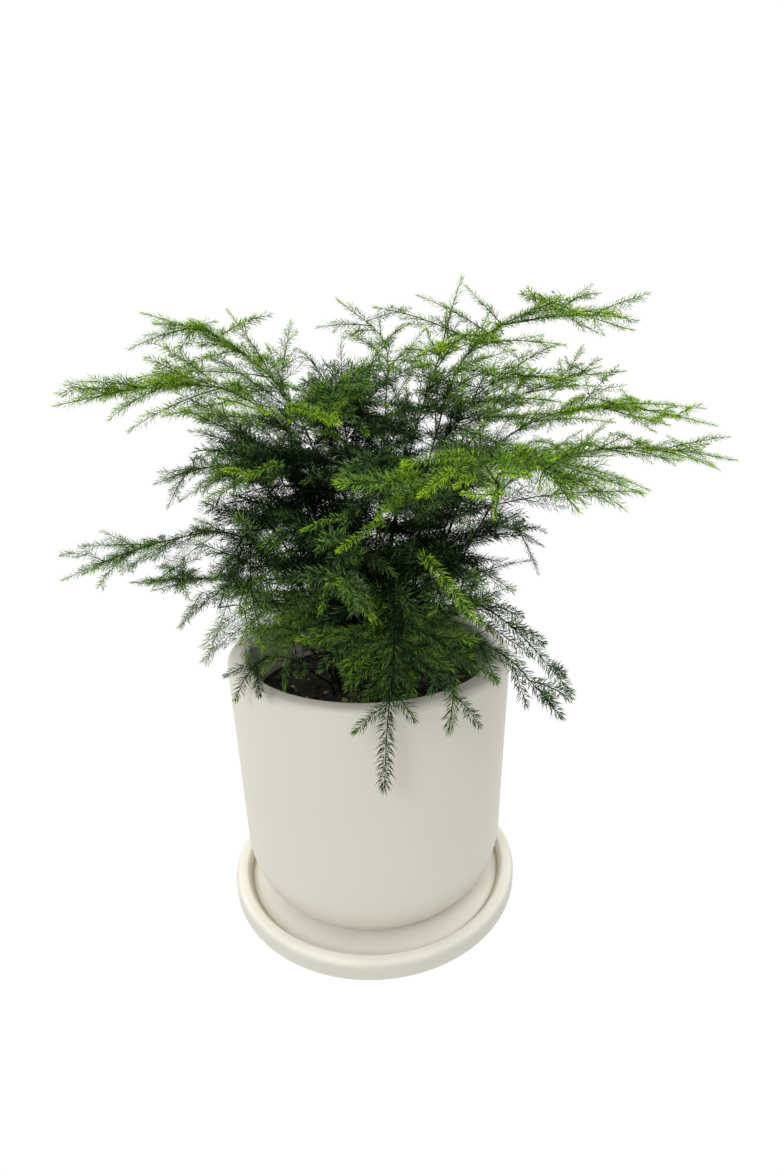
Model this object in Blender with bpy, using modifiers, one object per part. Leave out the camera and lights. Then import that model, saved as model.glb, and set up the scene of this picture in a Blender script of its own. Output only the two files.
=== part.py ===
"""Potted asparagus fern: a saucer, a ceramic pot, its soil and 29 feathery fronds.

Metres, +Z up. The origin is the middle of the saucer's underside, and -Y is the front.
Sizes below are in millimetres, and become metres where a mesh is made.
"""
import math

import bmesh
import bpy
import numpy as np
from mathutils import Matrix, Vector

MM = 0.001
TOUCH = 0.3  # gap between pieces that rest on each other
SEGMENTS = 32  # round the turned pieces
SHARP_ANGLE = math.radians(40)
CURVE_STEPS = 24  # between two points of a smooth path, while it is measured

# Saucer
SAUCER_R, SAUCER_HEIGHT = 71.0, 10.0
SAUCER_WELL_R, SAUCER_FLOOR = 62.4, 4.0
SAUCER_LIP_R, SAUCER_LIP_EDGE, SAUCER_EDGE = 64.4, 2.0, 3.0

# Pot
POT_BASE_Z = SAUCER_FLOOR + TOUCH
RIM_Z, RIM_R, RIM_EDGE = 126.3, 65.0, 3.0
OPENING_R = 56.0
WALL_FOOT_R = 62.8
BELLY_DROP, FOOT_R = 32.0, 39.0  # height of the rounded lower edge, and where it ends
FOOT_RING, FOOT_RECESS = 9.0, 1.5
FLOOR_Z, DRAIN_R = 12.5, 6.0
INNER_R_LOW, INNER_FOOT_R, INNER_DROP = 54.5, 34.0, 26.0

# Soil
SOIL_EDGE_Z, SOIL_CENTRE_Z, SOIL_LUMPS = 102.0, 107.0, 1.0
MOUND_RINGS, LUMPY_R = (0, 15, 30, 44), 50.0
HOLE_R, HOLE_DEPTH, HOLE_SIDES, HOLE_SPARE = 2.0, 10.0, 4, 1.0
COLLAR = 4.0  # height above the soil to which a stem stays upright

# Fronds
STEM_R, STEM_TIP_R, STEM_POINTS = 1.0, 0.7, 8
LIMB_R, LIMB_TIP_R, LIMB_POINTS = 0.6, 0.45, 3
LIMB_SPAN, LIMB_STEP = (0.4, 0.92), 0.02  # shares of a stem between which limbs leave it, and the step tried
LIMB_SPACING = 5.0  # between two limbs, along the stem
LIMB_TURN = math.radians(45)  # of a limb from its stem
LENGTH_COST = 0.008  # what 1 mm of limb counts against a place on the stem
LIMB_SWINGS, LIMB_LIFTS = (0, 0.08, -0.08, 0.16, -0.16, 0.24, -0.24, 0.32, -0.32), (0.1, 0.2, 0, -0.1, 0.3)
TWIG_R, TWIG_LENGTH = 0.5, 22.0
NEEDLE_R, NEEDLE_LENGTH = 0.2, 5.5
LEAFY_POINTS = 4  # of the stem, counted back from its tip, that carry twigs and needles
TWIG_LAST, TWIG_EVERY, TWIG_TAPER = 9.0, 26.0, 0.5  # the last twig's distance from the tip, and their spacing
NEEDLE_LAST, NEEDLE_EVERY, TWIG_NEEDLE_AT = 3.0, 36.0, 4.0
BARE_ROOT = 3.0  # length at a stem's or limb's root that carries nothing
LEAN = math.radians(50)  # between a twig or needle and what it grows from
CLEARANCE, POT_CLEARANCE = 0.45, 1.0  # between one frond and the next, and between a frond and the pot
POT_TESTS = 6  # points along a rod that are tested against the pot
# What a twig or needle tries to find room: turns to other faces, and shortenings
SPRIG_TRIES = ((0, 1), (1, 1), (2, 1), (0, 0.7), (1, 0.7), (2, 0.7), (0, 0.5))
SPRIG_ROOT = 0.15  # share of a twig or needle, at its root, that isn't tested for room
ROD_FACES = (0, 180, 90, 270)  # which way a stem's or limb's faces look, in degrees: aside, aside, up, down
TWIG_FACES = (90, 210, 330)  # and a twig's three

# Each frond: where its stem stands in the soil, the points that its stem passes, and the tips of its limbs.
# A tip's fourth number, where it has one, is the share of the stem's length at which that limb leaves it.
FRONDS = {
    "top_right": (
        (9, 1), [(16, -2, 160), (33, -8, 232), (44, -10, 256), (56, -9, 268), (80, -9, 268), (107, -10, 261)],
        [(100, 14, 277), (94, -34, 264), (76, -30, 255),
         (6, -20, 270, 0.72), (23, 0, 276, 0.74), (42, -2, 279, 0.76)],
    ),
    "tuft": (
        (3, -4), [(8, -8, 160), (22, -10, 225), (30, -14, 250), (32, -28, 256), (29, -45, 255)],
        [(14, -35, 254), (39, -18, 280, 0.84), (58, -25, 254), (64, -32, 247), (8, -14, 250)],
    ),
    "right_far": (
        (15, 6), [(30, 5, 160), (50, 3, 208), (66, 1, 226), (90, 1, 230), (120, 3, 230), (152, 5, 223)],
        [(127, 30, 233), (128, -22, 232), (98, -24, 227), (100, 26, 235)],
    ),
    "right_low": (
        (20, 9),
        [(38, 12, 150), (60, 14, 192), (82, 16, 209), (115, 17, 212), (145, 19, 211), (171, 20, 206)],
        [(120, -10, 198), (138, 42, 212), (150, -2, 206), (104, 40, 205)],
    ),
    "right_up": (
        (12, 14), [(24, 20, 160), (46, 28, 212), (66, 33, 232), (92, 35, 243), (121, 35, 246)],
        [(104, 47, 258), (100, 12, 240), (84, 56, 248), (62, 50, 250)],
    ),
    "right_mid": (
        (8, -5), [(18, -9, 160), (33, -18, 220), (46, -26, 240), (62, -30, 245), (80, -32, 243)],
        [(76, -14, 256), (51, -50, 233), (70, -52, 236), (38, -42, 241)],
    ),
    "bright": (
        (12, -12), [(22, -22, 150), (36, -36, 200), (46, -47, 217), (58, -70, 218), (66, -96, 207)],
        [(15, -98, 222), (22, -92, 212), (97, -62, 206), (104, -42, 203), (40, -100, 212), (84, -82, 205)],
    ),
    "top_mid": (
        (-1, 9), [(4, 22, 170), (10, 42, 238), (9, 54, 262), (0, 60, 273), (-13, 60, 281)],
        [(22, 64, 270), (-22, 50, 268), (-8, 80, 266)],
    ),
    "left_top": (
        (-6, 7), [(-11, 10, 160), (-23, 15, 215), (-38, 20, 243), (-62, 22, 262), (-94, 20, 273)],
        [(-97, 8, 258), (-96, 0, 246), (-80, 40, 270), (-34, 45, 271), (-60, -8, 254)],
    ),
    "left_long": (
        (-7, 1), [(-13, -1, 160), (-26, -3, 216), (-46, -5, 238), (-80, -3, 243), (-128, 0, 236)],
        [(-89, -26, 227), (-118, 22, 237), (-44, -42, 234), (-70, -38, 234), (-100, -16, 231)],
    ),
    "left_back": (
        (-13, 11), [(-26, 22, 150), (-44, 36, 190), (-62, 44, 204), (-84, 46, 203), (-107, 45, 196)],
        [(-105, 54, 182), (-91, 66, 206), (-90, 28, 190), (-60, 70, 200)],
    ),
    "left_low": (
        (-16, 6), [(-28, 13, 140), (-48, 24, 166), (-72, 30, 174), (-115, 37, 165), (-159, 40, 148)],
        [(-138, 46, 172), (-134, 22, 158), (-126, 64, 156), (-100, 8, 154), (-96, 62, 165)],
    ),
    "left_lower": (
        (-18, -1), [(-30, 3, 126), (-48, 12, 146), (-66, 19, 152), (-92, 26, 152), (-120, 30, 149)],
        [(-94, 16, 130), (-80, 2, 118), (-104, 46, 138), (-78, 42, 142)],
    ),
    "left_front": (
        (-8, -7), [(-14, -14, 160), (-24, -24, 204), (-32, -32, 216), (-42, -44, 216), (-53, -57, 210)],
        [(-52, -26, 202), (-30, -60, 212), (-60, -40, 208), (-16, -48, 214)],
    ),
    "curtain": (
        (-14, -10), [(-23, -21, 150), (-33, -36, 190), (-38, -50, 196), (-38, -66, 182), (-34, -75, 158)],
        [(-54, -52, 164), (-20, -66, 170), (-52, -64, 178), (-18, -62, 186)],
    ),
    "core_left": (
        (-5, -12), [(-10, -22, 150), (-14, -38, 186), (-12, -56, 194), (-5, -76, 186), (4, -92, 174)],
        [(-12, -84, 174), (-24, -74, 190), (12, -78, 184)],
    ),
    "core_right": (
        (8, -18), [(15, -26, 145), (24, -36, 176), (30, -52, 183), (36, -70, 178), (40, -86, 169)],
        [(54, -62, 172), (24, -84, 172), (50, -50, 180), (18, -64, 180)],
    ),
    "mid_spray": (
        (2, -9), [(7, -16, 160), (14, -30, 200), (14, -46, 214), (6, -64, 218), (-5, -82, 215)],
        [(-4, -84, 200), (12, -90, 208), (28, -70, 214), (-18, -62, 212), (30, -56, 206)],
    ),
    "front_top": (
        (-2, -2), [(-3, -8, 160), (-6, -18, 222), (-8, -28, 238), (-9, -48, 240), (-8, -72, 232)],
        [(-22, -58, 232), (4, -66, 228), (10, -46, 236), (-26, -38, 238)],
    ),
    "front_droop": (
        (4, -20),
        [(6, -32, 140), (9, -44, 170), (12, -58, 170), (11, -70, 146), (8, -78, 122), (7, -79, 102)],
        [(-18, -70, 160), (-14, -78, 150), (40, -76, 150), (32, -80, 140), (-3, -79, 126), (18, -80, 131)],
    ),
    "right_droop": (
        (14, -17), [(20, -28, 128), (27, -44, 146), (31, -56, 148), (33, -66, 138), (31, -71, 121)],
        [(43, -66, 120), (24, -74, 138), (50, -60, 136), (18, -64, 148)],
    ),
    "rim_left": (
        (-17, -12), [(-25, -20, 122), (-35, -31, 134), (-44, -43, 137), (-51, -53, 126)],
        [(-40, -60, 131), (-58, -40, 130), (-26, -50, 134)],
    ),
    "right_side": (
        (21, 0), [(29, -6, 132), (40, -18, 152), (56, -24, 148), (73, -29, 132), (87, -31, 115)],
        [(80, -8, 128), (88, -16, 116), (66, -42, 138), (70, -4, 140), (60, 4, 148)],
    ),
    "right_lean": (
        (19, -9), [(30, -22, 128), (42, -38, 143), (54, -44, 140), (68, -47, 126), (79, -48, 113)],
        [(62, -58, 124), (78, -36, 112), (50, -58, 134), (84, -42, 118)],
    ),
    "right_back": (
        (17, 16), [(32, 24, 140), (50, 34, 168), (66, 40, 172), (80, 44, 167), (90, 46, 160)],
        [(86, 36, 148), (82, 58, 172), (70, 66, 160), (78, 20, 160)],
    ),
    "back_left": (
        (-7, 17), [(-15, 30, 150), (-28, 52, 196), (-38, 72, 206), (-50, 94, 202), (-60, 114, 188)],
        [(-76, 88, 196), (-34, 108, 190), (-64, 64, 204), (-20, 84, 206)],
    ),
    "back_mid": (
        (3, 15), [(5, 28, 160), (7, 50, 212), (8, 68, 224), (9, 92, 220), (10, 118, 202)],
        [(-8, 104, 208), (30, 100, 210), (-12, 76, 222), (28, 74, 224)],
    ),
    "back_right": (
        (10, 21), [(19, 36, 145), (34, 58, 186), (46, 74, 194), (60, 92, 190), (72, 108, 176)],
        [(84, 84, 182), (46, 110, 180), (70, 64, 190), (26, 88, 192)],
    ),
    "back_low": (
        (-3, 22), [(-6, 38, 130), (-10, 58, 150), (-14, 74, 150), (-18, 90, 136), (-20, 100, 116)],
        [(-40, 86, 132), (4, 94, 128), (-36, 70, 146), (10, 74, 146)],
    ),
}

# Base colours in linear light. Young fronds are yellow green, old and inner ones blue green and dark.
GLAZE, EARTH = (0.68, 0.65, 0.56), (0.020, 0.013, 0.008)
YOUNG, MIDDLE, OLD = (0.13, 0.32, 0.012), (0.045, 0.15, 0.016), (0.016, 0.055, 0.016)
YOUNG_FRONDS = {"bright", "top_right", "tuft", "right_far", "left_long"}
OLD_FRONDS = {
    "left_back", "left_low", "left_lower", "curtain", "core_left", "right_back", "back_low", "back_left",
}


def unit(v):
    return v / max(np.linalg.norm(v), 1e-9)


def soil_height(x, y):
    """Height of the soil's mound, before its lumps."""
    share = min(math.hypot(x, y) / OPENING_R, 1.0)
    return SOIL_CENTRE_Z + (SOIL_EDGE_Z - SOIL_CENTRE_Z) * share**2


def along(path):
    """Each point's distance along a path."""
    return np.concatenate([[0], np.cumsum(np.linalg.norm(np.diff(path, axis=0), axis=1))])


def smooth_path(points, count):
    """Points evenly spaced along a Catmull-Rom curve through these."""
    p = np.array(points, float)
    ends = np.vstack([2 * p[0] - p[1], p, 2 * p[-1] - p[-2]])
    fine = []
    for i in range(len(p) - 1):
        a, b, c, d = ends[i : i + 4]
        for t in np.linspace(0, 1, CURVE_STEPS, endpoint=False):
            bend = (2 * a - 5 * b + 4 * c - d) * t**2 + (3 * b - a - 3 * c + d) * t**3
            fine.append(0.5 * (2 * b + (c - a) * t + bend))
    fine = np.array(fine + [p[-1]])
    reached = along(fine)
    at = np.linspace(0, reached[-1], count)
    return np.column_stack([np.interp(at, reached, fine[:, k]) for k in range(3)])


def arc(start, middle, tip, count):
    """Points along the parabola that leaves start towards middle and ends at tip."""
    t = np.linspace(0, 1, count)[:, None]
    return (1 - t) ** 2 * start + 2 * t * (1 - t) * middle + t**2 * tip


def point_at(path, distance):
    """The point this far along a path, and the direction there."""
    reached = along(path)
    i = min(int(np.searchsorted(reached, distance, side="right")) - 1, len(path) - 2)
    ahead = unit(path[i + 1] - path[i])
    return path[i] + ahead * (distance - reached[i]), ahead


def leaving_place(stem, tip, share, taken):
    """How far up the stem a limb grows to this tip: at the share given, or where it turns off as limbs do."""
    length = along(stem)[-1]
    if share is not None:
        return share * length
    costs = {}
    for at in np.arange(*LIMB_SPAN, LIMB_STEP) * length:
        start, ahead = point_at(stem, at)
        way = tip - start
        turn = math.acos(float(np.clip(unit(way) @ ahead, -1, 1)))
        crowd = min([abs(at - other) for other in taken] + [LIMB_SPACING])
        costs[at] = abs(turn - LIMB_TURN) + LENGTH_COST * np.linalg.norm(way) + (LIMB_SPACING - crowd)
    return min(costs, key=costs.get)


class Space:
    """The rods placed so far, each a row of its two ends, radius and frond, and what they keep clear of."""

    def __init__(self):
        self.rods = np.zeros((0, 8))

    def add(self, points, radius, frond):
        rows = [np.concatenate([points[i], points[i + 1], [radius, frond]]) for i in range(len(points) - 1)]
        self.rods = np.vstack([self.rods, rows])

    def gaps(self, p0, p1, rods):
        """Distance from the segment p0 to p1 to each rod's axis."""
        u, v, w = p1 - p0, rods[:, 3:6] - rods[:, 0:3], p0 - rods[:, 0:3]
        a, b, c = u @ u, v @ u, np.maximum((v * v).sum(axis=1), 1e-9)
        d, e = w @ u, (v * w).sum(axis=1)
        s = np.clip((b * e - c * d) / np.maximum(a * c - b * b, 1e-9), 0, 1)
        t = np.clip((b * s + e) / c, 0, 1)
        s = np.clip((b * t - d) / a, 0, 1)
        return np.linalg.norm(w + s[:, None] * u - t[:, None] * v, axis=1)

    def free_of_pot(self, p, radius):
        away = math.hypot(p[0], p[1])
        if p[2] > RIM_Z + radius + POT_CLEARANCE:
            return True
        if away < OPENING_R - radius - POT_CLEARANCE:
            return p[2] > soil_height(p[0], p[1]) + radius + SOIL_LUMPS + POT_CLEARANCE
        return away > RIM_R + radius + POT_CLEARANCE

    def clear(self, points, radius, frond):
        others = self.rods[self.rods[:, 7] != frond]
        for p0, p1 in zip(points[:-1], points[1:]):
            if (self.gaps(p0, p1, others) < others[:, 6] + radius + CLEARANCE).any():
                return False
            if not all(self.free_of_pot(p0 + (p1 - p0) * t, radius) for t in np.linspace(0, 1, POT_TESTS)):
                return False
        return True


def stem_of(foot, via):
    """A stem's points, from the bottom of its hole in the soil to its tip."""
    x, y = foot
    ground = soil_height(x, y)
    bottom = np.array([(x, y, ground - HOLE_DEPTH + HOLE_SPARE)])
    return np.vstack([bottom, smooth_path([(x, y, ground + COLLAR)] + via, STEM_POINTS - 1)])


def limb_to(space, start, tip, frond):
    """A limb's points, bent sideways or up by the least that keeps it clear of the other fronds."""
    reach = np.linalg.norm(tip - start)
    side = unit(np.cross(tip - start, (0, 0, 1)))
    for swing in LIMB_SWINGS:
        for lift in LIMB_LIFTS:
            middle = (start + tip) / 2 + reach * (swing * side + np.array((0, 0, lift)))
            path = arc(start, middle, tip, LIMB_POINTS)
            if space.clear(path, LIMB_R, frond):
                return path
    return None


def frame_of(ahead):
    """The directions aside and up that go with a direction ahead."""
    side = unit(np.cross(ahead, (0, 0, 1)))
    return side, np.cross(side, ahead)


def places_back(path, last, every):
    """Distances along a path, spaced evenly back from near its tip."""
    return np.arange(along(path)[-1] - last, BARE_ROOT, -every)


def sprigs_on(space, path, places, length, radius, frond, faces, taper):
    """Twigs or needles grown at these places along a path, from its faces in turn, as pairs of root and tip."""
    grown = []
    for n, at in enumerate(places):
        root, ahead = point_at(path, at)
        side, up = frame_of(ahead)
        reach = length * (1.0 - taper * at / along(path)[-1])
        for turn, shrink in SPRIG_TRIES:
            around = math.radians(faces[(n + turn) % len(faces)])
            out = side * math.cos(around) + up * math.sin(around)
            tip = root + (ahead * math.cos(LEAN) + out * math.sin(LEAN)) * reach * shrink
            if space.clear([root + (tip - root) * SPRIG_ROOT, tip], radius, frond):
                space.add([root, tip], radius, frond)
                grown.append((root, tip))
                break
    return grown


def lay_out():
    """Every frond's stem, limbs, twigs and needles, with no two fronds touching."""
    space = Space()
    plants = []
    for number, (name, (foot, via, tips)) in enumerate(FRONDS.items()):
        stem = stem_of(foot, via)
        space.add(stem, STEM_R, number)
        plants.append({"name": name, "stem": stem, "limbs": [], "twigs": [], "needles": []})
    for number, plant in enumerate(plants):
        taken = []
        for tip in FRONDS[plant["name"]][2]:
            share, tip = (tip[3] if len(tip) > 3 else None), np.array(tip[:3], float)
            taken.append(leaving_place(plant["stem"], tip, share, taken))
            limb = limb_to(space, point_at(plant["stem"], taken[-1])[0], tip, number)
            if limb is not None:
                space.add(limb, LIMB_R, number)
                plant["limbs"].append(limb)
    for number, plant in enumerate(plants):
        for path in [plant["stem"][-LEAFY_POINTS:]] + plant["limbs"]:
            places = places_back(path, TWIG_LAST, TWIG_EVERY)
            plant["twigs"] += sprigs_on(
                space, path, places, TWIG_LENGTH, TWIG_R, number, ROD_FACES[:2], TWIG_TAPER
            )
    for number, plant in enumerate(plants):
        for path in [plant["stem"][-LEAFY_POINTS:]] + plant["limbs"]:
            places = places_back(path, NEEDLE_LAST, NEEDLE_EVERY)
            plant["needles"] += sprigs_on(
                space, path, places, NEEDLE_LENGTH, NEEDLE_R, number, ROD_FACES, 0.0
            )
        for twig in plant["twigs"]:
            plant["needles"] += sprigs_on(
                space, np.array(twig), [TWIG_NEEDLE_AT], NEEDLE_LENGTH, NEEDLE_R, number, TWIG_FACES, 0.0
            )
    return plants


def material(name, colour, roughness):
    made = bpy.data.materials.new(name)
    made.use_nodes = True
    shader = made.node_tree.nodes["Principled BSDF"]
    shader.inputs["Base Color"].default_value = (*colour, 1.0)
    shader.inputs["Roughness"].default_value = roughness
    shader.inputs["Metallic"].default_value = 0.0
    return made


def collection(name):
    made = bpy.data.collections.new(name)
    bpy.context.scene.collection.children.link(made)
    return made


def applied(obj):
    """Replaces an object by the mesh that its modifiers, or its curve, give, in the same place."""
    bpy.context.view_layer.update()
    graph = bpy.context.evaluated_depsgraph_get()
    mesh = bpy.data.meshes.new_from_object(obj.evaluated_get(graph))
    solid = bpy.data.objects.new(obj.name + "_solid", mesh)
    solid.matrix_world = obj.matrix_world
    for home in obj.users_collection:
        home.objects.link(solid)
    name = obj.name
    bpy.data.objects.remove(obj)
    solid.name = name
    return solid


def turned(name, profile, closed, home):
    """A turned solid from its profile of (radius, height) pairs, which runs down the outer side."""
    mesh = bpy.data.meshes.new(name)
    count = len(profile)
    edges = [(i, i + 1) for i in range(count - 1)] + ([(count - 1, 0)] if closed else [])
    mesh.from_pydata([(r * MM, 0, z * MM) for r, z in profile], edges, [])
    obj = bpy.data.objects.new(name, mesh)
    home.objects.link(obj)
    screw = obj.modifiers.new("Turn", "SCREW")
    screw.steps = SEGMENTS
    screw.render_steps = SEGMENTS
    screw.use_merge_vertices = True
    screw.merge_threshold = 0.00001
    return obj


def quarter(centre, reach, start, end, count):
    """Points on an ellipse's arc, from the start angle to the end angle in degrees, 0 outward and 90 up."""
    angles = [math.radians(start + (end - start) * i / (count - 1)) for i in range(count)]
    return [(centre[0] + reach[0] * math.cos(a), centre[1] + reach[1] * math.sin(a)) for a in angles]


def smooth(obj):
    obj.data.shade_smooth()
    obj.data.set_sharp_from_angle(angle=SHARP_ANGLE)


def saucer(home, finish):
    edge, lip_edge = SAUCER_EDGE, SAUCER_LIP_EDGE
    lip = quarter((SAUCER_LIP_R + lip_edge, SAUCER_HEIGHT - lip_edge), (lip_edge, lip_edge), 180, 90, 3)
    crown = quarter((SAUCER_R - edge, SAUCER_HEIGHT - edge), (edge, edge), 90, 0, 4)
    heel = quarter((SAUCER_R - edge, edge), (edge, edge), 0, -90, 3)
    profile = [(0, SAUCER_FLOOR), (SAUCER_WELL_R, SAUCER_FLOOR)] + lip + crown + heel + [(0, 0)]
    obj = applied(turned("saucer", profile, False, home))
    obj.data.materials.append(finish)
    smooth(obj)


def pot(home, finish):
    belly_z = POT_BASE_Z + BELLY_DROP
    crown = quarter((RIM_R - RIM_EDGE, RIM_Z - RIM_EDGE), (RIM_EDGE, RIM_EDGE), 90, 0, 3)
    belly = quarter((FOOT_R, belly_z), (WALL_FOOT_R - FOOT_R, BELLY_DROP), 0, -90, 5)
    ring = FOOT_R - FOOT_RING
    base = [(ring, POT_BASE_Z), (ring - 1.0, POT_BASE_Z + FOOT_RECESS), (DRAIN_R, POT_BASE_Z + FOOT_RECESS)]
    inner_z = FLOOR_Z + INNER_DROP
    hollow = quarter((INNER_FOOT_R, inner_z), (INNER_R_LOW - INNER_FOOT_R, INNER_DROP), -90, 0, 4)
    lip = quarter((OPENING_R + RIM_EDGE, RIM_Z - RIM_EDGE), (RIM_EDGE, RIM_EDGE), 180, 90, 3)
    profile = crown + belly + base + [(DRAIN_R, FLOOR_Z)] + hollow + lip
    obj = applied(turned("pot", profile, True, home))
    obj.data.materials.append(finish)
    smooth(obj)


def stem_holes(helpers):
    """One short pin for each stem, to be cut out of the soil."""
    pins = bpy.data.collections.new("stem_pins")
    helpers.children.link(pins)
    for name, (foot, _, _) in FRONDS.items():
        x, y = foot
        top = soil_height(x, y) + HOLE_DEPTH
        bm = bmesh.new()
        bmesh.ops.create_cone(
            bm, cap_ends=True, segments=HOLE_SIDES, radius1=HOLE_R * MM, radius2=HOLE_R * MM,
            depth=2 * HOLE_DEPTH * MM, matrix=Matrix.Translation(Vector((x, y, top - HOLE_DEPTH)) * MM),
        )
        mesh = bpy.data.meshes.new("pin_" + name)
        bm.to_mesh(mesh)
        bm.free()
        pin = bpy.data.objects.new("pin_" + name, mesh)
        pin.hide_render = True
        pin.display_type = "WIRE"
        pins.objects.link(pin)
    return pins


def soil(home, helpers, finish):
    """The root ball, up to a mounded and lumpy surface."""
    inner_z = FLOOR_Z + INNER_DROP
    wall_share = (SOIL_EDGE_Z - inner_z) / (RIM_Z - RIM_EDGE - inner_z)
    edge_r = INNER_R_LOW + (OPENING_R - INNER_R_LOW) * wall_share - TOUCH
    reach = INNER_R_LOW - INNER_FOOT_R
    mound = [(r, soil_height(r, 0)) for r in MOUND_RINGS] + [(edge_r, SOIL_EDGE_Z)]
    low = quarter((INNER_FOOT_R, inner_z), (reach - TOUCH, INNER_DROP - TOUCH), 0, -90, 4)
    obj = applied(turned("soil", mound + low + [(0, FLOOR_Z + TOUCH)], False, home))
    for vertex in obj.data.vertices:
        x, y, z = vertex.co / MM
        inside = max(0.0, 1.0 - math.hypot(x, y) / LUMPY_R)
        if z > SOIL_EDGE_Z - TOUCH and inside > 0:
            lump = math.sin(0.31 * x + 1.0) * math.cos(0.27 * y) + 0.6 * math.sin(0.53 * x - 0.47 * y)
            vertex.co.z += lump * min(inside * 4.0, 1.0) * SOIL_LUMPS * MM
    cut = obj.modifiers.new("Stem holes", "BOOLEAN")
    cut.operation = "DIFFERENCE"
    cut.operand_type = "COLLECTION"
    cut.collection = stem_holes(helpers)
    cut.solver = "EXACT"
    obj = applied(obj)
    obj.data.materials.clear()
    obj.data.materials.append(finish)


def square_outline(helpers):
    """The four-sided section of the stems and limbs, 1 mm from its middle to its corners."""
    curve = bpy.data.curves.new("stem_section", "CURVE")
    spline = curve.splines.new("POLY")
    spline.points.add(3)
    for i, point in enumerate(spline.points):
        corner = math.radians(45 + 90 * i)
        point.co = (math.cos(corner) * MM, math.sin(corner) * MM, 0, 1)
    spline.use_cyclic_u = True
    obj = bpy.data.objects.new("stem_section", curve)
    obj.hide_render = True
    obj.display_type = "WIRE"
    helpers.objects.link(obj)
    return obj


def rod(name, path, root_r, tip_r, twist, section, home):
    """A stem or limb: a tube along a path, tapered from its root to its tip."""
    curve = bpy.data.curves.new(name, "CURVE")
    curve.dimensions = "3D"
    curve.twist_mode = twist
    curve.bevel_mode = "OBJECT"
    curve.bevel_object = section
    curve.use_fill_caps = True
    spline = curve.splines.new("POLY")
    spline.points.add(len(path) - 1)
    for i, (point, co) in enumerate(zip(spline.points, path)):
        point.co = (*(co * MM), 1)
        point.radius = root_r + (tip_r - root_r) * i / (len(path) - 1)
    obj = bpy.data.objects.new(name, curve)
    home.objects.link(obj)
    obj = applied(obj)
    bm = bmesh.new()
    bm.from_mesh(obj.data)
    bmesh.ops.remove_doubles(bm, verts=bm.verts, dist=0.00001)
    bmesh.ops.recalc_face_normals(bm, faces=bm.faces)
    bm.to_mesh(obj.data)
    bm.free()
    return obj


def spike_mesh(name, radius):
    """A three-sided spike, from its root at the origin to its tip 1 m up. One of its faces looks along -Y."""
    bm = bmesh.new()
    bmesh.ops.create_cone(
        bm, cap_ends=True, segments=3, radius1=radius * MM, radius2=0,
        depth=1.0, matrix=Matrix.Translation((0, 0, 0.5)),
    )
    mesh = bpy.data.meshes.new(name)
    bm.to_mesh(mesh)
    bm.free()
    return mesh


def spike(name, mesh, root, tip, home):
    """A twig or needle, placed with the face that looks along -Y turned up."""
    ahead = unit(tip - root)
    side, up = frame_of(ahead)
    turn = Matrix((side, -up, ahead)).transposed().to_4x4()
    length = float(np.linalg.norm(tip - root)) * MM
    obj = bpy.data.objects.new(name, mesh)
    obj.matrix_world = Matrix.Translation(Vector(root) * MM) @ turn @ Matrix.Diagonal((1, 1, length, 1))
    home.objects.link(obj)


def frond(plant, finish, section, spikes, home, helpers):
    """One frond as one solid: its limbs, twigs and needles joined to its stem."""
    name = "frond_" + plant["name"]
    repeats = bpy.data.collections.new(name + "_repeats")
    helpers.children.link(repeats)
    for i, path in enumerate(plant["limbs"]):
        rod(f"{name}_limb_{i}", path, LIMB_R, LIMB_TIP_R, "Z_UP", section, repeats)
    for kind in ("twigs", "needles"):
        for i, (root, tip) in enumerate(plant[kind]):
            spike(f"{name}_{kind}_{i}", spikes[kind], root, tip, repeats)
    stem = rod(name, plant["stem"], STEM_R, STEM_TIP_R, "MINIMUM", section, home)
    join = stem.modifiers.new("Join", "BOOLEAN")
    join.operation = "UNION"
    join.operand_type = "COLLECTION"
    join.collection = repeats
    join.solver = "MANIFOLD"
    stem = applied(stem)
    for obj in list(repeats.objects):
        bpy.data.objects.remove(obj)
    bpy.data.collections.remove(repeats)
    stem.data.materials.clear()
    stem.data.materials.append(finish)


def frond_colour(name):
    if name in YOUNG_FRONDS:
        return YOUNG
    return OLD if name in OLD_FRONDS else MIDDLE


def main():
    for obj in list(bpy.data.objects):
        bpy.data.objects.remove(obj)
    home = collection("potted_asparagus_fern")
    helpers = collection("helpers")
    helpers.hide_render = True
    saucer(home, material("saucer_glaze", GLAZE, 0.4))
    pot(home, material("pot_glaze", GLAZE, 0.4))
    soil(home, helpers, material("potting_soil", EARTH, 0.95))
    section = square_outline(helpers)
    spikes = {"twigs": spike_mesh("twig", TWIG_R), "needles": spike_mesh("needle", NEEDLE_R)}
    for plant in lay_out():
        finish = material("frond_" + plant["name"], frond_colour(plant["name"]), 0.6)
        frond(plant, finish, section, spikes, home, helpers)


main()
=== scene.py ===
"""Looks of the potted asparagus fern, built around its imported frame.

The plant's table and sizes are in millimetres, as in the CAD source, and become metres where a mesh is made.
Each frond grows from the same stem and limbs as its CAD node, with branchlets and needles at full density.
"""
from collections import namedtuple
from math import acos, cos, hypot, pi, radians, sin, sqrt

import bmesh
import bpy
import numpy as np
from mathutils import Matrix, noise
from numpy.linalg import norm

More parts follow.
